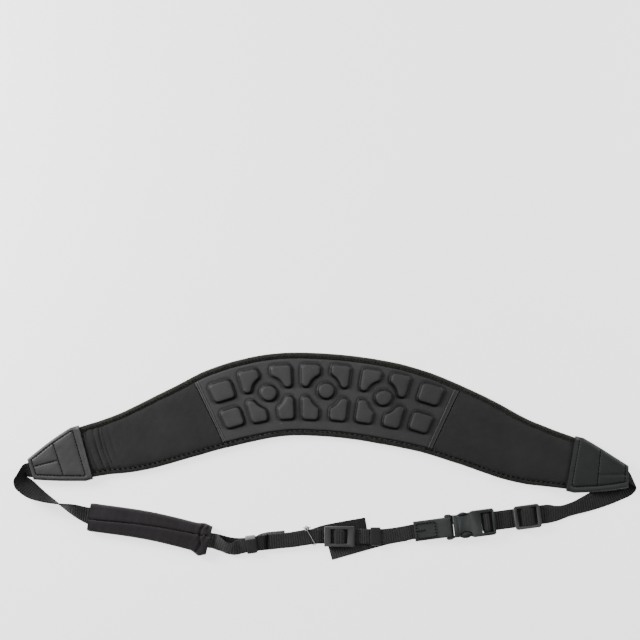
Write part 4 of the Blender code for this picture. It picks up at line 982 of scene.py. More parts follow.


# How light each webbing is painted along the strap, with painted light and painted shade: place from the
# middle, and factor
ToneRow = namedtuple("ToneRow", "x factor")
WEBBING_TONES = {
    "webbing_left": table(
        ToneRow,
        (-0.2440, 0.60), (-0.2360, 0.66), (-0.2300, 0.45), (-0.2190, 0.20), (-0.2130, 0.30),
        (-0.2090, 0.95), (-0.2040, 1.70),
    ),
    "lug_webbing_left": table(
        ToneRow,
        (-0.0965, 3.2), (-0.0905, 1.9), (-0.0660, 1.6), (-0.0570, 0.8), (-0.0516, 0.8), (-0.0512, 0.45),
        (-0.0486, 0.45), (-0.0482, 0.9), (0.0000, 0.75),
    ),
    "lug_webbing_back": table(
        ToneRow,
        (-0.0907, 1.80), (-0.0897, 0.60), (-0.0640, 0.60), (-0.0600, 0.8), (-0.0575, 6.5),
        (-0.0450, 4.5), (-0.0360, 3.0),
    ),
    "lug_webbing_right": table(
        ToneRow,
        (-0.0496, 0.1), (-0.0484, 0.15), (-0.0478, 1.0), (0.0450, 1.25), (0.1000, 1.2),
    ),
    "lug_webbing_tail": (ToneRow(0.0, 1.75),),
    "webbing_right": table(
        ToneRow,
        (0.1320, 1.45), (0.1340, 1.05), (0.1700, 1.05), (0.1800, 1.15), (0.2200, 1.0), (0.2400, 0.85),
    ),
}


def ribbon(name, stations, width, thickness, look):
    """A strap with soft edges. Webbing gets ribs in its mesh, and leather a cushioned face."""
    woven = look is WEBBING
    points, halves, normals, at = dense(stations, width, WEBBING_RIB / 6 if woven else 0.0006)
    section = ribbon_section(RIBBON_COLUMNS, 0.0 if woven else 0.12)
    rise = RIB_RISE if woven else 0.0
    rib = rise * np.cos(2 * math.pi * at / WEBBING_RIB)[:, None]
    sway = 1 - (0.006 if woven else 0.0) * np.cos(math.pi * at / WEBBING_RIB)[:, None]
    shares, heights = section[:, 0], section[:, 1]
    lift = heights[None, :] * (thickness / 2 - rise) + np.sign(heights)[None, :] * rib
    wide = shares[None, :] * sway
    rings = points[:, None] + halves[:, None] * wide[..., None] + normals[:, None] * lift[..., None]
    # Painted light and shade along the webbing, from its table.
    rows = WEBBING_TONES.get(name, (ToneRow(0.0, 1.0),))
    tone = np.interp(rings[..., 0], [row.x for row in rows], [row.factor for row in rows])
    return tube(name + "_look", look, rings, name, tone=tone)


# Loose loops of the wide webbing, by its two edges: each as shares of the span and drop, and its height
EdgeRow = namedtuple("EdgeRow", "x drop high other_x other_drop other_high")
LEFT_LOOP = table(
    EdgeRow,
    (-0.975, -0.206, 0.0052, -0.965, -0.025, 0.0052), (-1.004, -0.181, 0.0056, -0.990, 0.006, 0.0044),
    (-1.024, -0.146, 0.0076, -1.008, 0.001, 0.0030), (-1.041, -0.037, 0.0090, -1.013, -0.004, 0.0016),
    (-1.053, 0.037, 0.0086, -1.011, 0.001, 0.0011), (-1.050, 0.121, 0.0082, -1.004, 0.016, 0.0008),
    (-1.033, 0.191, 0.0082, -0.991, 0.051, 0.0008), (-1.004, 0.259, 0.0094, -0.971, 0.121, 0.0008),
    (-0.958, 0.301, 0.0130, -0.943, 0.216, 0.0008), (-0.916, 0.321, 0.0146, -0.912, 0.314, 0.0008),
    (-0.884, 0.326, 0.0130, -0.889, 0.394, 0.0008), (-0.848, 0.339, 0.0084, -0.853, 0.499, 0.0012),
    (-0.811, 0.376, 0.0034, -0.817, 0.576, 0.0024),
)
RIGHT_LOOP = table(
    EdgeRow,
    (0.966, -0.169, 0.0049, 0.978, 0.037, 0.0049), (0.991, -0.113, 0.0047, 1.008, 0.081, 0.0047),
    (1.007, -0.044, 0.0039, 1.028, 0.134, 0.0036), (1.007, -0.021, 0.0023, 1.030, 0.159, 0.0019),
    (0.990, -0.001, 0.0013, 1.021, 0.209, 0.0008), (0.946, 0.056, 0.0008, 0.976, 0.299, 0.0007),
    (0.901, 0.138, 0.0014, 0.921, 0.379, 0.0007), (0.854, 0.231, 0.0056, 0.866, 0.441, 0.0007),
    (0.810, 0.316, 0.0056, 0.812, 0.492, 0.0007), (0.763, 0.361, 0.0034, 0.762, 0.559, 0.0014),
)


def edge_stations(rows):
    """Stations whose lines across run from one edge of the webbing to the other."""
    firsts = [Vector((r.x * HALF_SPAN, -r.drop * LOOP_DROP, r.high)) for r in rows]
    others = [Vector((r.other_x * HALF_SPAN, -r.other_drop * LOOP_DROP, r.other_high)) for r in rows]
    middles = [(a + b) / 2 for a, b in zip(firsts, others)]
    stations = []
    for index, (first, other, middle) in enumerate(zip(firsts, others, middles)):
        ahead = middles[min(index + 1, len(middles) - 1)] - middles[max(index - 1, 0)]
        stations.append(Stop(middle, ahead.cross(first - other).normalized(), (first - other) / 2))
    return stations


def left_loop():
    """Out of the left cap, round a soft curl and a half twist, into the sleeve."""
    path = sleeve_curve()
    middle = path[len(path) // 2]
    ahead = (path[-1] - path[0]).normalized()
    lift = SLEEVE_LOW + MAIN_THICKNESS / 2
    inside = [p for p in path[2:] if (p - middle).dot(ahead) < 0]
    inside += [middle, middle + ahead * SLEEVE_OVERLAP / 2, middle + ahead * SLEEVE_OVERLAP]
    stations = edge_stations(LEFT_LOOP) + flat([p + Vector((0, 0, lift)) for p in inside])
    ribbon("webbing_left", stations, MAIN_WIDTH, MAIN_THICKNESS, WEBBING)


def right_loop():
    """Out of the right cap, folded back, through the wide slider and round the socket's bar."""
    buckle = Place(BUCKLE)
    floor = MAIN_THICKNESS / 2
    upper = floor + MAIN_LAYER
    tail_end = GLIDE_DISTANCE + WIDE_BARS.length / 2 + TAIL_PAST_GLIDE
    stations = edge_stations(RIGHT_LOOP) + flat([buckle.at(tail_end + 2 * MAIN_LAYER, 0, upper)], -1.0)
    glide_start, glide_end = GLIDE_DISTANCE + WIDE_BARS.length / 2, GLIDE_DISTANCE - WIDE_BARS.length / 2
    glide = Place(BUCKLE)
    glide.origin = buckle.at(GLIDE_DISTANCE, 0, 0)
    woven = straight(buckle, glide_start, glide_end, upper, WEB_STEP / 4)
    rise = WIDE_BARS.bar_height + 2 * GAP + MAIN_THICKNESS
    window = WIDE_BARS.length / 2 - WIDE_BARS.end_bar
    woven = weave(woven, glide, WIDE_BARS.bar_width / 2 + GAP, window, rise)
    stations += flat(woven, -1.0)
    over_bar = SOCKET_BAR_LIFT + BAR_WRAP
    end_bar = SOCKET_END - SOCKET_END_BAR
    stations += flat([buckle.at(SOCKET_END + GAP, 0, upper), buckle.at(end_bar, 0, upper)], -1.0)
    climb = end_bar - SOCKET_BAR_DISTANCE
    for share in (0.25, 0.5, 0.75):
        z = between(upper, over_bar, smoothstep(share))
        stations += flat([buckle.at(end_bar - climb * share, 0, z)], -1.0)
    for step in range(FOLD_STEPS + 1):
        turn = math.pi * step / FOLD_STEPS
        outward = Vector((0, 0, math.cos(turn))) - buckle.along * math.sin(turn)
        centre = buckle.at(SOCKET_BAR_DISTANCE - FOLD_REACH * math.sin(turn), 0, SOCKET_BAR_LIFT)
        stations.append(Stop(centre + outward * BAR_WRAP, -outward, None))
    back = straight(buckle, SOCKET_BAR_DISTANCE, tail_end, floor, 2 * WEB_STEP)
    stations += flat(back[1:])
    ribbon("webbing_right", stations, MAIN_WIDTH, MAIN_THICKNESS, WEBBING)


# How far the folds round the buckle's bars stand off them
FOLD_REACH = 0.0012


def folded_tab():
    """Leather folded round the plug's bar, with the end of the webbing between its leaves."""
    place = Place(BUCKLE)
    end, bar = -PLUG_BAR_DISTANCE - TAB_LENGTH, -PLUG_BAR_DISTANCE
    low = TAB_LEATHER / 2
    high = low + TAB_LEATHER + 2 * GAP + LUG_THICKNESS
    grip_end = end + TAB_GRIP + GAP
    over = PLUG_BAR_LIFT + TAB_WRAP
    stations = flat(straight(place, end, grip_end, high, 2 * WEB_STEP))
    climb = bar - grip_end
    for share in (0.25, 0.5, 0.75):
        z = between(high, over, smoothstep(share))
        stations += flat([place.at(grip_end + climb * share, 0, z)])
    for step in range(FOLD_STEPS + 1):
        turn = math.pi * step / FOLD_STEPS
        outward = Vector((0, 0, math.cos(turn))) + place.along * math.sin(turn)
        centre = place.at(bar + 1.4 * FOLD_REACH * math.sin(turn), 0, PLUG_BAR_LIFT)
        stations.append(Stop(centre + outward * TAB_WRAP, outward, None))
    stations += flat(straight(place, bar, end, low, 2 * WEB_STEP)[1:], -1.0)
    ribbon("buckle_tab", stations, TAB_WIDTH, TAB_LEATHER, TAB_LOOK)


# Stitches


def stitches(name, path, pitch, length, radius):
    """Short threads in a row along a path of points, each dipping into the surface at its ends."""
    path = np.asarray(path)
    place = cumulative(path)
    count = max(1, int(place[-1] / pitch))
    starts = (np.arange(count) + 0.5 - length / 2) * place[-1] / count
    reach = length * place[-1] / count
    shares = np.array((0.0, 0.12, 0.5, 0.88, 1.0))
    at = starts[:, None] + shares * reach
    centre = np.stack([np.interp(at, place, path[:, i]) for i in range(3)], axis=-1)
    up = np.zeros_like(centre) + (0, 0, 1)
    ahead = np.gradient(centre, axis=1)
    ahead /= np.linalg.norm(ahead, axis=-1)[..., None]
    side = np.cross(up, ahead)
    dip = np.array((-1.6, -0.3, 0.35, -0.3, -1.6)) * radius
    size = np.array((0.55, 0.9, 1.0, 0.9, 0.55)) * radius
    turn = np.linspace(0, 2 * math.pi, STITCH_SIDES, endpoint=False)
    ring = up[:, :, None] * np.cos(turn)[:, None] + side[:, :, None] * np.sin(turn)[:, None]
    points = centre[:, :, None] + up[:, :, None] * dip[:, None, None] + ring * size[:, None, None]
    index = np.arange(count * STITCH_RINGS * STITCH_SIDES).reshape(count, STITCH_RINGS, STITCH_SIDES)
    nexts = np.roll(index, -1, axis=2)
    quads = np.stack([index[:, :-1], nexts[:, :-1], nexts[:, 1:], index[:, 1:]], axis=-1).reshape(-1, 4)
    ends = np.concatenate([index[:, 0, ::-1], index[:, -1]])
    along, around = np.repeat(at.ravel(), STITCH_SIDES), np.tile(turn * radius, count * STITCH_RINGS)
    uvs = np.stack([along, around], axis=-1)
    faces = quads.tolist() + ends.tolist()
    return outward(piece(name, BLACK_THREAD, points.reshape(-1, 3) + SHIFT_ROW, faces, uvs=uvs))


def line_points(u_values, v_values, z_values):
    return np.array([LINE.at(u, v, z) for u, v, z in zip(u_values, v_values, z_values)])


# Neck pad


def column(read, u_values):
    """A measure of the pad line at each u, as a column."""
    return np.array([read(u) for u in u_values])[:, None]


def pad_frame(u_values):
    """Arrays of the middle line's points and of the way across the pad there, per metre of v."""
    middle = np.array([LINE.at(u, 0, 0) for u in u_values])
    across = np.array([LINE.at(u, 0.001, 0) for u in u_values]) - middle
    return middle, across / 0.001


# Creases across the pad, from the mouth of the left cap: distance, depth and half width
FoldRow = namedtuple("FoldRow", "past depth wide")
FOLDS = table(
    FoldRow,
    (0.0040, 0.00070, 0.0009), (0.0098, 0.00110, 0.0007), (0.0142, 0.00085, 0.0006),
    (0.0172, 0.00070, 0.0006), (0.0222, 0.00035, 0.0010),
)
SWELL_HEIGHT = 0.00022  # of the cloth between them
CREASED_LENGTH = 0.030  # stretch of the pad that they lie in


def wrinkle_field(u, v):
    """Folds beside the left cap: soft swells between narrow creases, bowed and uneven."""
    past = u + LINE.mouth
    bow = 0.0022 * (v / 0.022) ** 2 - 0.0016 * v / 0.022
    total = SWELL_HEIGHT * (hill(past - 0.0070 - bow, 0.0022) + hill(past - 0.0120 - bow, 0.0016))
    for row in FOLDS:
        fade = np.clip(0.75 + 0.35 * np.sin(v / 0.0050 + row.past * 900), 0, 1)
        total = total - 0.72 * row.depth * fade * hill(past - row.past - bow, row.wide)
    return total


PAD_CROWN = 0.0007  # how far the padding swells between its edges
MOUTH_SQUEEZE = 0.0006  # how far a cap's mouth presses it down


def pad_top(u, v):
    """Height of the pad's upper face above its flat one, from arrays of u and v."""
    inner = column(LINE.pad_half, u[:, 0]) - BINDING_FLANGE
    from_edge = inner - np.abs(v)
    dip = -PAD_CROWN * fading(from_edge, 0.0016)
    crown = PAD_CROWN * (1 - np.clip(np.abs(v) / inner, 0, 1) ** 4)
    pull = fading(from_edge, 0.006) * (0.5 + 0.5 * np.cos(2 * math.pi * u / 0.0062)) * 0.00012
    squeeze = -MOUTH_SQUEEZE * fading(LINE.mouth - np.abs(u), 0.003)
    waves = 0.00022 * soft_noise(u, v, 1.0)
    return crown + dip + squeeze + (waves - pull) + wrinkle_field(u, v)


def build_pad():
    end = LINE.mouth + PAD_INSERT
    recess = PANEL_HALF_LENGTH + GAP
    steps = [[PANEL_SHIFT + s * recess, PANEL_SHIFT + s * (recess + GAP)] for s in (-1, 1)]
    folded = np.linspace(-LINE.mouth, CREASED_LENGTH - LINE.mouth, CREASED_ROWS)
    u = np.unique(np.concatenate([np.linspace(-end, end, PAD_ROWS), folded, *steps]))
    middle, left = pad_frame(u)
    share = shares_across(PAD_COLUMNS)
    half = column(LINE.pad_half, u) - BINDING_THICKNESS - GAP
    flange = column(LINE.pad_half, u) - BINDING_FLANGE - GAP
    base, thick = column(LINE.pad_base, u), column(LINE.pad_thickness, u)
    step = BINDING_THICKNESS + GAP
    v_top = share[None, :] * flange
    top = base + thick + pad_top(u[:, None], v_top)
    inside = (np.abs(u) >= LINE.mouth)[:, None]
    top = np.where(inside, base + thick, top)
    sunk = (np.abs(u - PANEL_SHIFT) < PANEL_HALF_LENGTH + 1.5 * GAP)[:, None]
    top = np.where(sunk, base + thick - PANEL_RECESS, top)
    under = base + 0.00008 * (1 - np.abs(share[None, :])) ** 0.5
    side_v = np.concatenate([flange, half, half, flange], axis=1)
    high, low = base + thick - step, base + step
    side_z = np.concatenate([high, high, low, low], axis=1)
    v = np.concatenate([v_top, side_v, share[None, ::-1] * flange, -side_v[:, ::-1]], axis=1)
    z = np.concatenate([top, side_z, under, side_z[:, ::-1]], axis=1)
    rings = middle[:, None] + left[:, None] * v[..., None]
    rings[..., 2] = z
    # The colour darker towards the left cap, with painted shade in the creases.
    near_cap = fading(u + LINE.mouth, 0.020)[:, None]
    tone = 1 - near_cap * (0.16 + 480 * np.clip(-wrinkle_field(u[:, None], v), 0, 0.0009))
    pad = tube("pad_cloth", JERSEY, rings, "neoprene_pad", tone=tone)
    pad.data.set_sharp_from_angle(angle=math.radians(50))


def binding_profile():
    """The folded tape's section: shares of the flange inwards from the pad's edge, and of its height."""
    outer = [(-1.0, 0.93), (-0.93, 1.03), (-0.6, 1.07), (-0.3, 1.03)]
    outer += [(-0.12, 0.90), (-0.03, 0.72), (0.0, 0.5)]
    return outer + [(v, 1 - z) for v, z in outer[-2::-1]]


# Radii of the threads on the bindings
BOLD_THREAD = 0.00062
FINE_THREAD = 0.00036


def build_bindings():
    end = LINE.mouth + PAD_INSERT
    u = np.linspace(-end, end, TAPE_ROWS)
    middle, left = pad_frame(u)
    half = column(LINE.pad_half, u)
    base, thick = column(LINE.pad_base, u), column(LINE.pad_thickness, u)
    held = np.where(np.abs(u) >= LINE.mouth, 0.0, 1.0)[:, None]
    inside = [(-1.0, 0.80), (-0.5, 0.84), (-0.2, 0.72), (-0.17, 0.5)]
    inside += [(-0.2, 0.28), (-0.5, 0.16), (-1.0, 0.20)]
    profile = binding_profile() + inside[::-1]
    for name, side, look, inside_edge, pitch, bold_from in (
        ("binding_upper", 1, EDGE_UPPER, 0.66, 0.0028, 1.0),
        ("binding_lower", -1, EDGE_LOWER, 0.92, 0.0040, 0.088),
    ):
        v = np.array([p[0] for p in profile])[None, :] * BINDING_FLANGE
        z = np.array([p[1] for p in profile])[None, :]
        pucker = 0.5 + 0.5 * np.cos(2 * math.pi * u / 0.0031 + side)[:, None]
        wobble = 0.0003 * soft_noise(u, u * 0.3, 2.0 + side)[:, None] * held
        over = hill(v + 0.78 * BINDING_FLANGE, 0.0009) * 0.00022 * pucker * held
        height = base + np.clip(z, 0, 1) * thick + (np.clip(z, 1, 2) - 1) * thick * held
        height = np.where(z > 0.5, height - over, height + over * (z < 0.2))
        inset = np.where(v < -0.5 * BINDING_FLANGE, wobble, 0.25 * wobble)
        rings = middle[:, None] + left[:, None] * (side * (half + v + inset))[..., None]
        rings[..., 2] = np.maximum(height, base + 0.00001)
        tube(name + "_tape", look, rings, name)
        seam = np.linspace(-LINE.mouth + 0.001, LINE.mouth - 0.001, SEAM_ROWS)
        row = np.array([LINE.pad_half(x) for x in seam]) - inside_edge * BINDING_FLANGE
        top = np.array([LINE.pad_base(x) + LINE.pad_thickness(x) * 1.03 for x in seam])
        above = line_points(seam, side * row, top + 0.00003)
        for end, part, radius in (
            ("left", seam < -bold_from, BOLD_THREAD),
            ("middle", np.abs(seam) <= bold_from, FINE_THREAD),
            ("right", seam > bold_from, BOLD_THREAD),
        ):
            if part.any():
                stitches(f"{name}_stitches_{end}", above[part], pitch, 0.66, radius)


# Grip panel


def edge_distance(start, end, x, y):
    """Distance of the points from a straight edge."""
    (ax, ay), (bx, by) = start, end
    ex, ey = bx - ax, by - ay
    share = np.clip(((x - ax) * ex + (y - ay) * ey) / max(ex * ex + ey * ey, 1e-18), 0, 1)
    return np.hypot(x - ax - share * ex, y - ay - share * ey)


def distance_inside(outline, x, y):
    """Signed distance from a closed outline, positive inside it."""
    points = np.array(outline)
    nexts = np.roll(points, -1, axis=0)
    best = np.full(x.shape, 1.0)
    inside = np.zeros(x.shape, dtype=bool)
    for (ax, ay), (bx, by) in zip(points, nexts):
        best = np.minimum(best, edge_distance((ax, ay), (bx, by), x, y))
        crossing = (ay > y) != (by > y)
        if by != ay:
            inside ^= crossing & (x < (bx - ax) * (y - ay) / (by - ay) + ax)
    return np.where(inside, best, -best)


# Fine ribs across the ends of the panel, by their distance in, and how much lighter they are painted: a
# painted highlight on a ridge, and painted shade in a groove where the value is negative
RibRow = namedtuple("RibRow", "side inset light")
END_RIBS = table(
    RibRow,
    (-1, 0.0008, 0.8), (-1, 0.0016, -0.45), (-1, 0.0024, 0.7), (-1, 0.0032, -0.30), (1, 0.0006, 0.7),
    (1, 0.0034, 0.55), (1, 0.0042, -0.25),
)
END_RIB_HEIGHT = 0.00030
END_RIB_HALF = 0.00038

# Side of a block: distance in from its foot, height as a share of the relief's, and how light it is
# painted: painted shade round its foot
RampRow = namedtuple("RampRow", "inset rise tone")
RELIEF_SIDE = table(
    RampRow,
    (-0.0024, 0.00, 1.12), (-0.0014, -0.03, 1.04), (-0.0008, -0.12, 0.78), (-0.0002, -0.10, 0.50),
    (0.0003, 0.16, 0.46), (0.0008, 0.52, 0.62), (0.0012, 0.76, 0.90), (0.0018, 0.90, 1.12),
    (0.0027, 0.97, 1.15), (0.0038, 1.00, 1.15), (0.0060, 1.02, 1.15),
)
RIM_DROP = 0.0009  # how far the panel's very edge falls away
SHADE_ASIDE = 0.0011  # how far the shade falls towards the middle of the panel, and towards its lower edge
SHADE_BELOW = 0.0006


def relief_depth(u, v):
    """How far each point lies inside the nearest of the blocks."""
    deepest = np.full(u.shape, -0.01)
    for outline, at_u, at_v, mirror_u, mirror_v in relief_shapes():
        near = (np.abs(u - at_u) < 0.025) & (np.abs(v - at_v) < 0.030)
        x, y = (u[near] - at_u) * mirror_u, (v[near] - at_v) * mirror_v
        deepest[near] = np.maximum(deepest[near], distance_inside(outline(0.0), x, y))
    return deepest


def build_panel():
    low = PAD_THICKNESS - PANEL_RECESS + GAP
    flat_top = low + PANEL_THICKNESS
    u = np.linspace(PANEL_SHIFT - PANEL_HALF_LENGTH, PANEL_SHIFT + PANEL_HALF_LENGTH, PANEL_ROWS)
    share = np.linspace(-1, 1, PANEL_COLUMNS)
    half = np.array([LINE.panel_half(x) for x in u]) - GAP
    grid_u = np.repeat(u[:, None], len(share), axis=1)
    grid_v = half[:, None] * share[None, :]
    from_end = PANEL_HALF_LENGTH - np.abs(grid_u - PANEL_SHIFT)
    rim = np.minimum(from_end, half[:, None] - np.abs(grid_v))
    depth = relief_depth(grid_u, grid_v)
    insets = [row.inset for row in RELIEF_SIDE]
    height = RELIEF_HEIGHT * np.interp(depth, insets, [row.rise for row in RELIEF_SIDE])
    # Painted shade round the foot of each block.
    tone = np.interp(depth, insets, [row.tone for row in RELIEF_SIDE])
    # A painted shadow cast by each block towards the middle of the panel and towards its lower edge.
    aside = SHADE_ASIDE * np.clip((grid_u - RELIEF_SHIFT) / 0.03, -1, 1)
    shaded = relief_depth(grid_u + aside, grid_v + SHADE_BELOW)
    shade_share = np.clip(shaded / 0.0005, 0, 1) * np.clip((0.0017 - depth) / 0.0005, 0, 1)
    tone = tone * (1 - 0.82 * shade_share)
    # Painted highlight on each end ridge, painted shade in each end groove.
    for row in END_RIBS:
        ridge = hill(from_end - row.inset, END_RIB_HALF) * (grid_u * row.side > 0)
        height += END_RIB_HEIGHT * ridge * np.sign(row.light)
        tone = tone * (1 + row.light * ridge)
    # The colour darker towards the panel's right end.
    tone = tone * np.interp(grid_u, (-0.03, 0.03, 0.08), (1.0, 0.95, 0.75))
    height -= RIM_DROP * fading(rim, 0.0005)
    height += 0.00005 * soft_noise(grid_u, grid_v, 4.0)
    middle, across = pad_frame(u)
    top = middle[:, None] + across[:, None] * grid_v[..., None]
    top[..., 2] = flat_top + height
    rows, columns = top.shape[:2]
    points = [top.reshape(-1, 3)]
    index = np.arange(rows * columns).reshape(rows, columns)
    quads = np.stack([index[:-1, :-1], index[1:, :-1], index[1:, 1:], index[:-1, 1:]], axis=-1)
    border = np.concatenate([index[0, :-1], index[:-1, -1], index[-1, :0:-1], index[:0:-1, 0]])
    skirt = points[0][border].copy()
    skirt[:, 2] = low
    points.append(skirt)
    below = rows * columns + np.arange(len(border))
    walls = np.stack([border, np.roll(border, -1), np.roll(below, -1), below], axis=-1)
    uvs = np.stack([grid_u, grid_v], axis=-1).reshape(-1, 2)
    uvs = np.vstack([uvs, uvs[border]])
    faces = quads.reshape(-1, 4).tolist() + walls.tolist() + [below.tolist()]
    tone = np.concatenate([tone.ravel(), tone.ravel()[border]])
    points = np.vstack(points) + SHIFT_ROW
    panel = piece("grip_panel_look", FOAM, points, faces, "grip_panel", uvs, tone=tone)
    outward(panel)


# End caps


def seam_distance(paths, u, v):
    """Distance from the nearest of the sewn lines, which are lists of (u, v) points."""
    best = np.full(u.shape, 1.0)
    for path in paths:
        for start, end in zip(path, path[1:]):
            best = np.minimum(best, edge_distance(start, end, u, v))
    return best


# Sewn lines on each cap: distances in from its mouth, tip and two edges, and of the line across it
SeamRow = namedtuple("SeamRow", "mouth tip upper lower cross")
SEAMS = {
    -1: SeamRow(0.0052, 0.0032, 0.0029, 0.0044, 0.0225),
    1: SeamRow(0.0036, 0.0028, 0.0016, 0.0050, 0.0222),
}


def cap_seams(side):
    """Sewn lines on a cap, as lists of its distance from the mouth and its place across."""
    row = SEAMS[side]
    end, square = CAP_LENGTH - row.tip, CAP_SQUARE_LENGTH
    high = lambda past: LINE.cap_half(LINE.mouth + past) - row.upper
    low = lambda past: row.lower - LINE.cap_half(LINE.mouth + past)
    middle = (square + end) / 2
    first, cross = row.mouth, row.cross
    lower = [(past, low(past)) for past in (first, square, middle, end)] + [(end, high(end))]
    upper = [(past, high(past)) for past in (middle, square, first)] + [(first, low(first))]
    across = [(cross, low(cross)), (cross, high(cross))]
    if side < 0:
        return [lower + upper, across, [(cross, 0.0002), (end - 0.0012, 0.0012)]]
    return [lower, across, [(first, low(first)), (first, high(first))]]


# The right cap's mouth: drawn back over the pad, and leaning off square by this much
MOUTH_BACK = 0.0009
MOUTH_LEAN = 0.064

# Pitch of the caps' stitches, and their radius
CAP_STITCH = 0.0026
CAP_THREAD = 0.00030

# Relief of the caps: padding between the sewn lines by side, the groove of a line, a fold and the lip
CAP_PUFF = {-1: 0.00062, 1: 0.0004}
PUFF_REACH = 0.0022
GROOVE_DEPTH = 0.0005
CAP_FOLD = ((0.0226, -0.0040), (CAP_LENGTH - 0.003, 0.0012))
CAP_FOLD_DEPTH = 0.0003
CAP_LIP = 0.0005
CAP_EDGE = 0.0035  # stretch over which its edges are rounded
TIP_REACH = 0.0012  # and its tip


def cap_drawn(side, past, across):
    """How far a point of the cap is drawn back along the pad: only the right cap's mouth is."""
    return (1 - past / CAP_LENGTH) * (MOUTH_BACK + MOUTH_LEAN * across) * (side > 0)


def build_caps():
    for name, side, look in (("end_cap_left", -1, LEFT_LEATHER), ("end_cap_right", 1, RIGHT_LEATHER)):
        past = np.linspace(0, CAP_LENGTH, CAP_ROWS)
        share = shares_across(CAP_COLUMNS)
        skew = CAP_RIGHT_SKEW if side > 0 else 0.0
        u_in = LINE.mouth + past
        half = column(LINE.cap_half, u_in)
        base, thick = column(LINE.cap_base, u_in), column(LINE.cap_thickness, u_in)
        grid_p = np.repeat(past[:, None], len(share), axis=1)
        grid_v = half * share[None, :]
        middle = base + thick / 2
        from_side = half - np.abs(grid_v)
        seam = seam_distance(cap_seams(side), grid_p, grid_v)
        edge = np.clip(from_side / CAP_EDGE, 0, 1)
        rounding = (1 - (1 - edge) ** 2.4) ** 0.5
        body = 0.42 * thick + CAP_PUFF[side] * (1 - np.exp(-seam / PUFF_REACH))
        body = body - GROOVE_DEPTH * hill(seam, 0.0005)
        if side > 0:
            body = body - CAP_FOLD_DEPTH * hill(seam_distance([CAP_FOLD], grid_p, grid_v), 0.0012)
        lip = CAP_LIP * np.exp(-((past / 0.0016) ** 4))[:, None]
        puff = 0.00018 * soft_noise(grid_p, grid_v, 5.0 + side)
        rise = (body + lip + puff) * rounding * np.where(share[None, :] ** 2 > 0.9999, 0, 1)
        tip = np.clip((CAP_LENGTH - grid_p) / TIP_REACH, 0, 1) ** 0.5 * 0.25 + 0.75
        upper = middle + rise * tip
        lower = middle - np.minimum(rise, 0.5 * thick) * tip
        shear = skew * np.array([smoothstep(LINE.cap_share(x)) for x in u_in])[:, None]
        back = cap_drawn(side, past[:, None], grid_v)
        # Painted shade along the sewn lines.
        tone = 0.5 + 0.5 * np.clip(seam / 0.0008, 0, 1)
        # On the right cap: a painted highlight on the lip at its mouth and on its rolled lower edge, and
        # painted shade along its upper rim.
        if side > 0:
            row = SEAMS[side]
            lip_band = (grid_p < row.mouth - 0.0003) | (grid_v < row.lower - half - 0.0003)
            tone = tone * np.where(lip_band, 1.6, 1.0) * np.where(grid_v > half - 0.0010, 0.45, 1.0)
        tone = np.concatenate([tone, tone[:, -2:0:-1]], axis=1)
        u = side * u_in[:, None] - shear * grid_v - back
        faces = [np.stack([u, grid_v, z], axis=-1) for z in (upper, lower)]
        spots = np.concatenate([faces[0], faces[1][:, -2:0:-1]], axis=1)
        rings = [[LINE.at(*spot) for spot in ring] for ring in spots]
        cap = tube(name + "_look", look, rings, name, tone=tone)
        cap.data.set_sharp_from_angle(angle=math.radians(60))
        cap_stitches(name, side, skew)


def cap_stitches(name, side, skew):
    """Threads along each of the cap's sewn lines."""
    fine = 0.0004
    for number, path in enumerate(cap_seams(side)):
        spots = np.array(path)
        place = cumulative(spots)
        at = np.linspace(fine, place[-1] - fine, int(place[-1] / fine))
        tops = []
        for past, v in zip(np.interp(at, place, spots[:, 0]), np.interp(at, place, spots[:, 1])):
            u = LINE.mouth + past
            lift = LINE.cap_base(u) + LINE.cap_thickness(u) * 0.92 - 0.0003
            slant = skew * smoothstep(LINE.cap_share(u))
            tops.append(LINE.at(side * u - slant * v - cap_drawn(side, past, v), v, lift))
        stitches(f"{name}_stitches_{number}", tops, CAP_STITCH, 0.70, CAP_THREAD)


# Sleeve


# Relief of the sleeve: the slit's groove and the padding beside it, creases, gathers and folds
SLIT_PLACES = (-0.16, 0.02, 0.27)  # share across at its start, middle and end
SLIT_DEPTH = 0.0007
SLIT_SWELL = 0.0006
HEM_CREASE = 0.0012
HEM_GATHER = 0.0006
SLEEVE_FOLDS = 0.00034


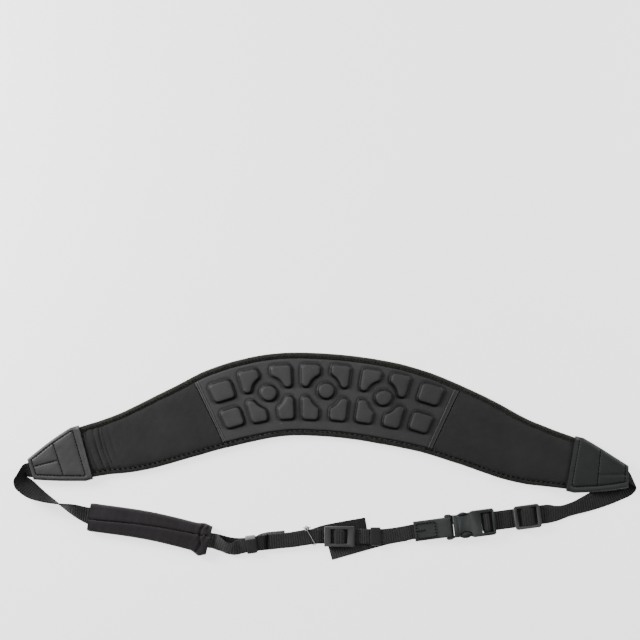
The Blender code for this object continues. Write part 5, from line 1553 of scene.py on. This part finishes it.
def build_sleeve():
    """A padded wall, open along the slit on top, with a gathered hem at its right end."""
    line = sleeve_curve()
    totals = lengths_of(line)
    length = totals[-1]
    centre, side = [], []
    places = [length * i / SLEEVE_ROWS for i in range(SLEEVE_ROWS + 1)]
    for place in places:
        centre.append(tuple(read_off(line, totals, place)))
        before, after = (read_off(line, totals, place + reach) for reach in (-0.003, 0.003))
        ahead = (after - before).normalized()
        side.append((-ahead.y, ahead.x, 0.0))
    at, centre, side = np.array(places)[:, None], np.array(centre), np.array(side)
    left_over = length - at
    hem = np.clip(1 - left_over / SLEEVE_HEM, 0, 1)
    swell = 1 + 0.05 * np.sin(math.pi * np.clip(hem * 1.15, 0, 1)) ** 2
    lobe = hill(left_over - 0.0050, 0.0042)
    start = np.clip(at / 0.003, 0, 1) ** 0.4 * 0.06 + 0.94
    steps = SLEEVE_CORNER_STEPS
    walls = []
    slit = np.interp(at[:, 0] / length, (0, 0.5, 1), SLIT_PLACES)[:, None] * SLEEVE_HALF_WIDTH
    for wall in (0.0, SLEEVE_WALL):
        radius = SLEEVE_ROUND + 0.0004 - wall
        corners = np.array(rounded_box(1.0, 1.0, 0.0, steps))
        turn = np.array([math.pi / 2 * (k + s / steps) for k in range(4) for s in range(steps + 1)])
        half_x = (SLEEVE_HALF_WIDTH - wall) * swell * start
        half_z = (SLEEVE_HEIGHT / 2 - wall) * swell
        x = corners[None, :, 0] * (half_x - radius) + radius * np.cos(turn)
        z = corners[None, :, 1] * (half_z - radius) + radius * np.sin(turn)
        first = steps + 1
        x = np.concatenate([x[:, first:], x[:, :first]], axis=1)
        z = np.concatenate([z[:, first:], z[:, :first]], axis=1)
        top = half_z + np.zeros_like(slit)
        fill = np.array([0.0, 0.12, 0.3, 0.55, 0.8])
        gap = SLEEVE_SLIT / 2
        from_left = (slit - gap) * (1 - fill) + x[:, :1] * fill
        to_right = (slit + gap) * (1 - fill[::-1]) + x[:, -1:] * fill[::-1]
        x = np.concatenate([from_left, x, to_right], axis=1)
        z = np.concatenate([top + 0 * from_left, z, top + 0 * to_right], axis=1)
        walls.append((x, z))
    x = np.concatenate([walls[0][0], walls[1][0][:, ::-1]], axis=1)
    z = np.concatenate([walls[0][1], walls[1][1][:, ::-1]], axis=1)
    count_outer = walls[0][0].shape[1]
    outer = np.zeros(x.shape[1])
    outer[:count_outer] = 1
    z = z - SLIT_DEPTH * hill(x - slit, 0.0009) * (z > 0) * outer
    z = z + SLIT_SWELL * hill(x - slit, 0.0045) * (z > 0) * outer
    x = x * (1 + lobe * np.where(x < 0, 0.20, 0.06))
    folds = SLEEVE_FOLDS * soft_noise(at + 0 * x, x, 7.0) * outer
    ripple = np.sin(2 * math.pi * (left_over / 0.0052 + x / 0.012)) * np.cos(x / 0.004)
    gathers = hem * HEM_GATHER * ripple
    bowed = left_over - 0.0075 - 0.0012 * np.sin(x / 0.003)
    crease = -HEM_CREASE * hill(bowed, 0.0011) * (z > -0.001)
    z = z + (folds + gathers * (z > 0)) * outer + crease * outer
    lift = SLEEVE_HEIGHT / 2 * swell
    points = centre[:, None] + side[:, None] * x[..., None]
    points[..., 2] = np.maximum(z + lift, 0.00002)
    sleeve = tube("sleeve_cloth", SLEEVE_JERSEY, points, "grip_sleeve")
    sleeve.data.set_sharp_from_angle(angle=math.radians(70))


# Keepers and thread


def hoop(name, look, place, half_y, low, high, length, wall, radius, slot, node, shine=1.0):
    """A soft edged band round the webbing: a rounded path with a rounded band section."""
    path = rounded_box(half_y + wall / 2, (high - low) / 2 - wall / 2, radius, 6)
    middle = (low + high) / 2
    points = np.array(path)
    edges = []
    for i in range(len(points)):
        a, b = points[i], points[(i + 1) % len(points)]
        steps = max(1, int(np.hypot(*(b - a)) / 0.0010))
        edges += [a + (b - a) * s / steps for s in range(steps)]
    points = np.array(edges)
    ahead = np.roll(points, -1, 0) - np.roll(points, 1, 0)
    ahead /= np.linalg.norm(ahead, axis=1)[:, None]
    normal = np.stack([ahead[:, 1], -ahead[:, 0]], axis=-1)
    share = shares_across(BAND_COLUMNS)
    swell = (1 - np.abs(share) ** 5) ** 0.5
    section = list(zip(share, swell))
    section += [(s, -w) for s, w in section[-2:0:-1]]
    rings = []
    for (y, z), (ny, nz) in zip(points, normal):
        ring = []
        for along, out in section:
            bulge = out * wall / 2
            ring.append(place.at(along * length / 2, y + ny * bulge, middle + z + nz * bulge))
        rings.append(ring)
    # Painted highlight along the band's upper edge, by the shine factor.
    edge = np.clip((points[:, 0] - half_y + 0.0024) / 0.0012, 0, 1)[:, None]
    tone = (1 + (shine - 1) * edge) * np.ones((1, len(section)))
    return tube(name, look, rings, node, hoop=True, tone=tone)


def build_keepers():
    # The left keeper's shine of 18 paints a highlight along its upper edge.
    for name, station, floor_level, layers, shine in (
        ("keeper_left", KEEPER_LEFT, 0, 2, 18.0),
        ("keeper_right", KEEPER_RIGHT, 1, 1, 1.0),
    ):
        low = floor_level * LAYER
        high = lug_height(floor_level + layers) + LUG_THICKNESS / 2 + GAP + KEEPER_WALL
        half = LUG_WIDTH / 2 + GAP
        args = (half, low, high, KEEPER_LENGTH, KEEPER_WALL, 0.0009, "leatherette", name)
        hoop(name + "_look", KEEPER_LOOK, Place(station), *args, shine=shine)


def build_tie():
    place = Place(TIE)
    radius = TIE_DIAMETER / 2
    half = LUG_WIDTH / 2 + GAP + radius
    low, high = radius, lug_height(2) + LUG_THICKNESS / 2 + GAP + radius
    slant = TIE_SLANT / 2
    corner = TIE_DIAMETER
    path = (
        (-slant, half - corner, high),
        (-slant, half, high - corner),
        (-slant / 2, half, low + corner),
        (-slant / 2, half - corner, low),
        (slant / 2, corner - half, low),
        (slant / 2, -half, low + corner),
        (slant, -half, high - corner),
        (slant, corner - half, high),
    )
    corners = [place.at(*p) for p in path]
    loop = spline(corners + corners[:2])[: SPLINE_STEPS * len(corners)]
    knot_at = place.at(-slant, half + TIE_KNOT / 4, high)
    knot = []
    for i in range(KNOT_ROWS):
        turn = 2 * math.pi * i / KNOT_ROWS
        ring = 0.0013 * (1 + 0.45 * math.cos(3 * turn))
        spot = (ring * math.cos(2 * turn), ring * math.sin(2 * turn), 0.00045 * math.sin(3 * turn))
        knot.append(knot_at + Vector(spot))
    ends = []
    for way, lean in ((-1, 0.2), (1, 0.55)):
        reach = Vector((way * 0.0032, 0.0020 * lean, -0.0006))
        ends.append([knot_at + reach * share for share in (0, 0.33, 0.66, 1)])
    strand("tie_loop", loop, radius * 0.65, True, "thread_tie")
    strand("tie_knot", knot, radius * 0.8, True, None)
    for number, tail in enumerate(ends):
        strand(f"tie_end_{number}", tail, radius * 0.85, False, None)


def strand(name, points, radius, closed, node):
    """A round thread along the points."""
    points = np.array([tuple(p) for p in points])
    ahead = np.roll(points, -1, 0) - np.roll(points, 1, 0) if closed else np.gradient(points, axis=0)
    ahead /= np.linalg.norm(ahead, axis=1)[:, None]
    guide = np.array((0.31, 0.17, 0.94))
    side = np.cross(ahead, guide)
    side /= np.linalg.norm(side, axis=1)[:, None]
    up = np.cross(side, ahead)
    turn = np.linspace(0, 2 * math.pi, THREAD_SIDES, endpoint=False)
    ring = up[:, None] * np.cos(turn)[:, None] + side[:, None] * np.sin(turn)[:, None]
    return tube(name, PALE_THREAD, points[:, None] + ring * radius, node, hoop=closed)


def build_tab_stitches():
    """A sewn square on the tab's end and a short row inside it."""
    place = Place(BUCKLE)
    end = -PLUG_BAR_DISTANCE - TAB_LENGTH
    high = 2 * TAB_LEATHER + 2 * GAP + LUG_THICKNESS + 0.00045
    near, far, side = end + 0.0020, end + 0.0172, TAB_WIDTH / 2 - 0.0020
    square = [(near, -side), (far, -side), (far, side), (near, side), (near, -side)]
    row = [(end + 0.0006, 0.0), (end + 0.0090, 0.0004)]
    for name, corners, pitch in (("tab_square", square, 0.0024), ("tab_row", row, 0.0018)):
        spots = np.array(corners)
        lengths = cumulative(spots)
        at = np.arange(0.0, lengths[-1], 0.0003)
        x, y = np.interp(at, lengths, spots[:, 0]), np.interp(at, lengths, spots[:, 1])
        path = [place.at(a, b, high) for a, b in zip(x, y)]
        stitches(name, path, pitch, 0.62, TAB_THREAD)


# Moulded plastic


def slab(name, place, outline, low, high, look=None):
    """A flat moulded shape between two heights."""
    base = len(outline)
    points = [tuple(place.at(x, y, z) + SHIFT) for z in (low, high) for x, y in outline]
    faces = [tuple(range(base))[::-1], tuple(range(base, 2 * base))]
    faces += [(i, (i + 1) % base, base + (i + 1) % base, base + i) for i in range(base)]
    mesh = bpy.data.meshes.new(name)
    mesh.from_pydata(points, [], faces)
    if look:
        mesh.materials.append(look)
    return outward(placed(name, mesh))


def box_of(name, place, x_range, half_y, z_range):
    (x0, x1), (z0, z1) = x_range, z_range
    return slab(name, place, ((x0, -half_y), (x1, -half_y), (x1, half_y), (x0, half_y)), z0, z1)


def mould(name, body, steps, bevel, node):
    """Applies unions and cuts, rounds the edges and makes the result one plain mesh."""
    for operation, other in steps:
        step = body.modifiers.new(operation, "BOOLEAN")
        step.operation = operation
        step.solver = "EXACT"
        step.object = other
    soft = body.modifiers.new("soft_edges", "BEVEL")
    soft.width = bevel
    soft.segments = 3
    soft.limit_method = "ANGLE"
    soft.angle_limit = math.radians(32)
    soft.harden_normals = True
    soft.use_clamp_overlap = True
    bpy.context.view_layer.update()
    held = body.evaluated_get(bpy.context.evaluated_depsgraph_get())
    mesh = bpy.data.meshes.new_from_object(held)
    look = body.data.materials[0]
    mesh.name = name
    obj = placed(name, mesh)
    mesh.shade_smooth()
    mesh.set_sharp_from_angle(angle=math.radians(40))
    mesh.materials.clear()
    mesh.materials.append(look)
    spots = np.zeros(len(mesh.vertices) * 3)
    mesh.vertices.foreach_get("co", spots)
    lay_uvs(mesh, spots.reshape(-1, 3)[:, :2])
    give_tone(mesh)
    for _, other in steps:
        bpy.data.objects.remove(other)
    bpy.data.objects.remove(body)
    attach(obj, "root")
    if node:
        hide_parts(node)
    return obj


def build_slider(node, place, sizes, web, lift, look):
    length, end_bar, rail, height, bar_width, bar_height, corner = sizes
    half = web / 2 + GAP + rail
    body = slab("slider_body", place, rounded_box(length / 2, half, corner, 6), lift, lift + height, look)
    window = length / 2 - end_bar
    inner = web / 2 - GAP
    steps = []
    high = lift + 2 * height
    for name, reach, low in (
        ("window", (-window, -bar_width / 2), lift - height),
        ("window", (bar_width / 2, window), lift - height),
        ("over", (-bar_width, bar_width), lift + bar_height),
    ):
        steps.append(("DIFFERENCE", box_of(name, place, reach, inner, (low, high))))
    return mould(node + "_look", body, steps, 0.00045, node)


def build_sliders():
    lift = lug_height(1) + LUG_THICKNESS / 2 + GAP
    build_slider("slider_centre", Place(SLIDER), CENTRE_BARS, LUG_WIDTH, lift, SLIDER_LOOK)
    place = Place(BUCKLE)
    place.origin = place.at(GLIDE_DISTANCE, 0, 0)
    build_slider("slider_wide", place, WIDE_BARS, MAIN_WIDTH, 2 * MAIN_LAYER, GLIDE_LOOK)


def moulding(node, look, bevel, hollows=()):
    """The CAD shape of a moulded part with soft edges, after cutting the hollows out of it."""
    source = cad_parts[node]
    mesh = source.data.copy()
    mesh.transform(source.matrix_world)
    grid = bmesh.new()
    grid.from_mesh(mesh)
    bmesh.ops.remove_doubles(grid, verts=grid.verts, dist=0.000005)
    bmesh.ops.dissolve_limit(grid, angle_limit=math.radians(3), verts=grid.verts, edges=grid.edges)
    grid.to_mesh(mesh)
    grid.free()
    mesh.materials.clear()
    mesh.materials.append(look)
    body = placed(node + "_body", mesh)
    steps = [("DIFFERENCE", hollow) for hollow in hollows]
    return mould(node + "_look", body, steps, bevel, node)


def lens(length, width, steps=24):
    """A pointed oval, as a closed outline."""
    turns = [math.pi * i / steps for i in range(steps + 1)]
    upper = [(-length / 2 * math.cos(turn), width / 2 * math.sin(turn) ** 1.4) for turn in turns]
    return upper + [(x, -y) for x, y in upper[-2:0:-1]]


PRESS_DEPTH = 0.0012  # depth of the hollows in which the press pads sit

# Press pads in the sides of the buckle, from its middle: along, across, length and width. They are in the
# darker acetal of painted shade, and the narrow upper one stands for a shade more than for a pad.
PadSpot = namedtuple("PadSpot", "along across length width")
PRESS_PADS = (PadSpot(-0.0042, -0.0076, 0.0108, 0.0064), PadSpot(-0.0050, 0.0090, 0.0092, 0.0030))


# Webs of plastic low in the buckle's slots, from its middle: along, across and height. Those in the darker
# acetal are dark sheets of painted shade in the slots.
WebRow = namedtuple("WebRow", "start end low high floor top look")
SLOT_WEBS = table(
    WebRow,
    (-0.0170, -0.0125, 0.0015, 0.0090, 0.0008, 0.0020, SHADED_ACETAL),
    (-0.0136, -0.0088, -0.0080, 0.0084, 0.0024, SOCKET_HEIGHT - 0.0001, BUCKLE_LOOK),
    (-0.0174, -0.0118, -0.0091, -0.0075, 0.0008, 0.0032, BUCKLE_LOOK),
    (0.0085, 0.0118, 0.0000, 0.0085, 0.0008, 0.0020, SHADED_ACETAL),
    (0.0100, 0.0180, -0.0085, -0.0070, 0.0006, 0.0018, SHADED_ACETAL),
    (0.0100, 0.0180, 0.0070, 0.0085, 0.0006, 0.0018, SHADED_ACETAL),
)


def build_buckle():
    place = Place(BUCKLE)
    hollows = []
    floor = SOCKET_HEIGHT - PRESS_DEPTH
    for number, row in enumerate(PRESS_PADS):
        outline = [(row.along + x, row.across + y) for x, y in lens(row.length, row.width)]
        hollows.append(slab(f"pad_way_{number}", place, outline, floor, 2 * SOCKET_HEIGHT))
        rings = []
        for share in (0.0, 0.25, 0.5, 0.7, 0.85, 0.95, 1.0):
            scale = 0.90 * math.cos(share * math.pi / 2) + 0.002
            height = floor + 0.0011 * math.sin(share * math.pi / 2)
            spots = lens(row.length * scale, row.width * scale)
            rings.append([tuple(place.at(row.along + x, row.across + y, height)) for x, y in spots])
        tube(f"press_pad_{number}", SHADED_ACETAL, rings)
    for number, row in enumerate(SLOT_WEBS):
        outline = ((row.start, row.low), (row.end, row.low), (row.end, row.high), (row.start, row.high))
        body = slab(f"slot_{number}", place, outline, row.floor, row.top, row.look)
        mould(f"slot_web_{number}", body, [], 0.0003, None)
    moulding("buckle_socket", BUCKLE_LOOK, 0.00055, hollows)
    moulding("buckle_plug", BUCKLE_LOOK, 0.00040)


# Stage


def build_stage():
    floor = bpy.data.meshes.new("floor")
    reach = 4.0
    corners = [(x * reach, y * reach, 0) for x, y in ((-1, -1), (1, -1), (1, 1), (-1, 1))]
    floor.from_pydata(corners, [], [(0, 1, 2, 3)])
    made = bpy.data.materials.new("pale_floor")
    made.use_nodes = True
    shader = made.node_tree.nodes["Principled BSDF"]
    for name, value in (
        ("Base Color", (0.93, 0.93, 0.93, 1)),
        ("Emission Color", (1, 1, 1, 1)),
        ("Emission Strength", FLOOR_GLOW),
        ("Roughness", 0.9),
        ("Specular IOR Level", 0.1),
    ):
        shader.inputs[name].default_value = value
    floor.materials.append(made)
    obj = placed("floor", floor)
    obj.location.z = -TABLE_GAP


def build_lights():
    world = bpy.data.worlds.new("studio")
    world.use_nodes = True
    sky = world.node_tree.nodes["Background"].inputs
    sky["Color"].default_value = (1, 1, 1, 1)
    sky["Strength"].default_value = WORLD_LIGHT
    bpy.context.scene.world = world
    for name, spot, size, power in LAMPS:
        data = bpy.data.lights.new(name, "AREA")
        data.shape = "SQUARE"
        data.size = size
        data.energy = power
        obj = placed(name, data)
        obj.location = spot
        obj.rotation_euler = (-Vector(spot)).to_track_quat("-Z", "Y").to_euler()


def build_camera():
    data = bpy.data.cameras.new("camera")
    data.lens = 135.0
    data.sensor_width = 36.0  # millimetres, as the lens
    data.clip_end = 20
    obj = placed("camera", data)
    obj.location = (*PHOTO_CENTRE, PHOTO_SPAN / data.sensor_width * data.lens)
    bpy.context.scene.camera = obj


# Light, floor and camera
WORLD_LIGHT = 0.12
FLOOR_GLOW = 1.8
LAMPS = (
    ("left", (-0.72, 0.36, 0.34), 0.30, 9.6),
    ("right", (0.78, 0.36, 0.36), 0.30, 4.1),
    ("behind", (0.0, 0.95, 0.75), 0.6, 1.2),
    ("overhead", (-0.25, 0.05, 1.7), 1.2, 4.4),
)
PHOTO_SPAN = 0.512
PHOTO_CENTRE = (SHIFT.x - 0.00704, SHIFT.y + 0.1252)

build_camera()
build_lights()
build_stage()
build_pad()
build_bindings()
build_panel()
build_caps()
left_loop()
right_loop()
lug_webbings()
build_keepers()
build_tie()
build_sliders()
folded_tab()
build_tab_stitches()
build_buckle()
build_sleeve()
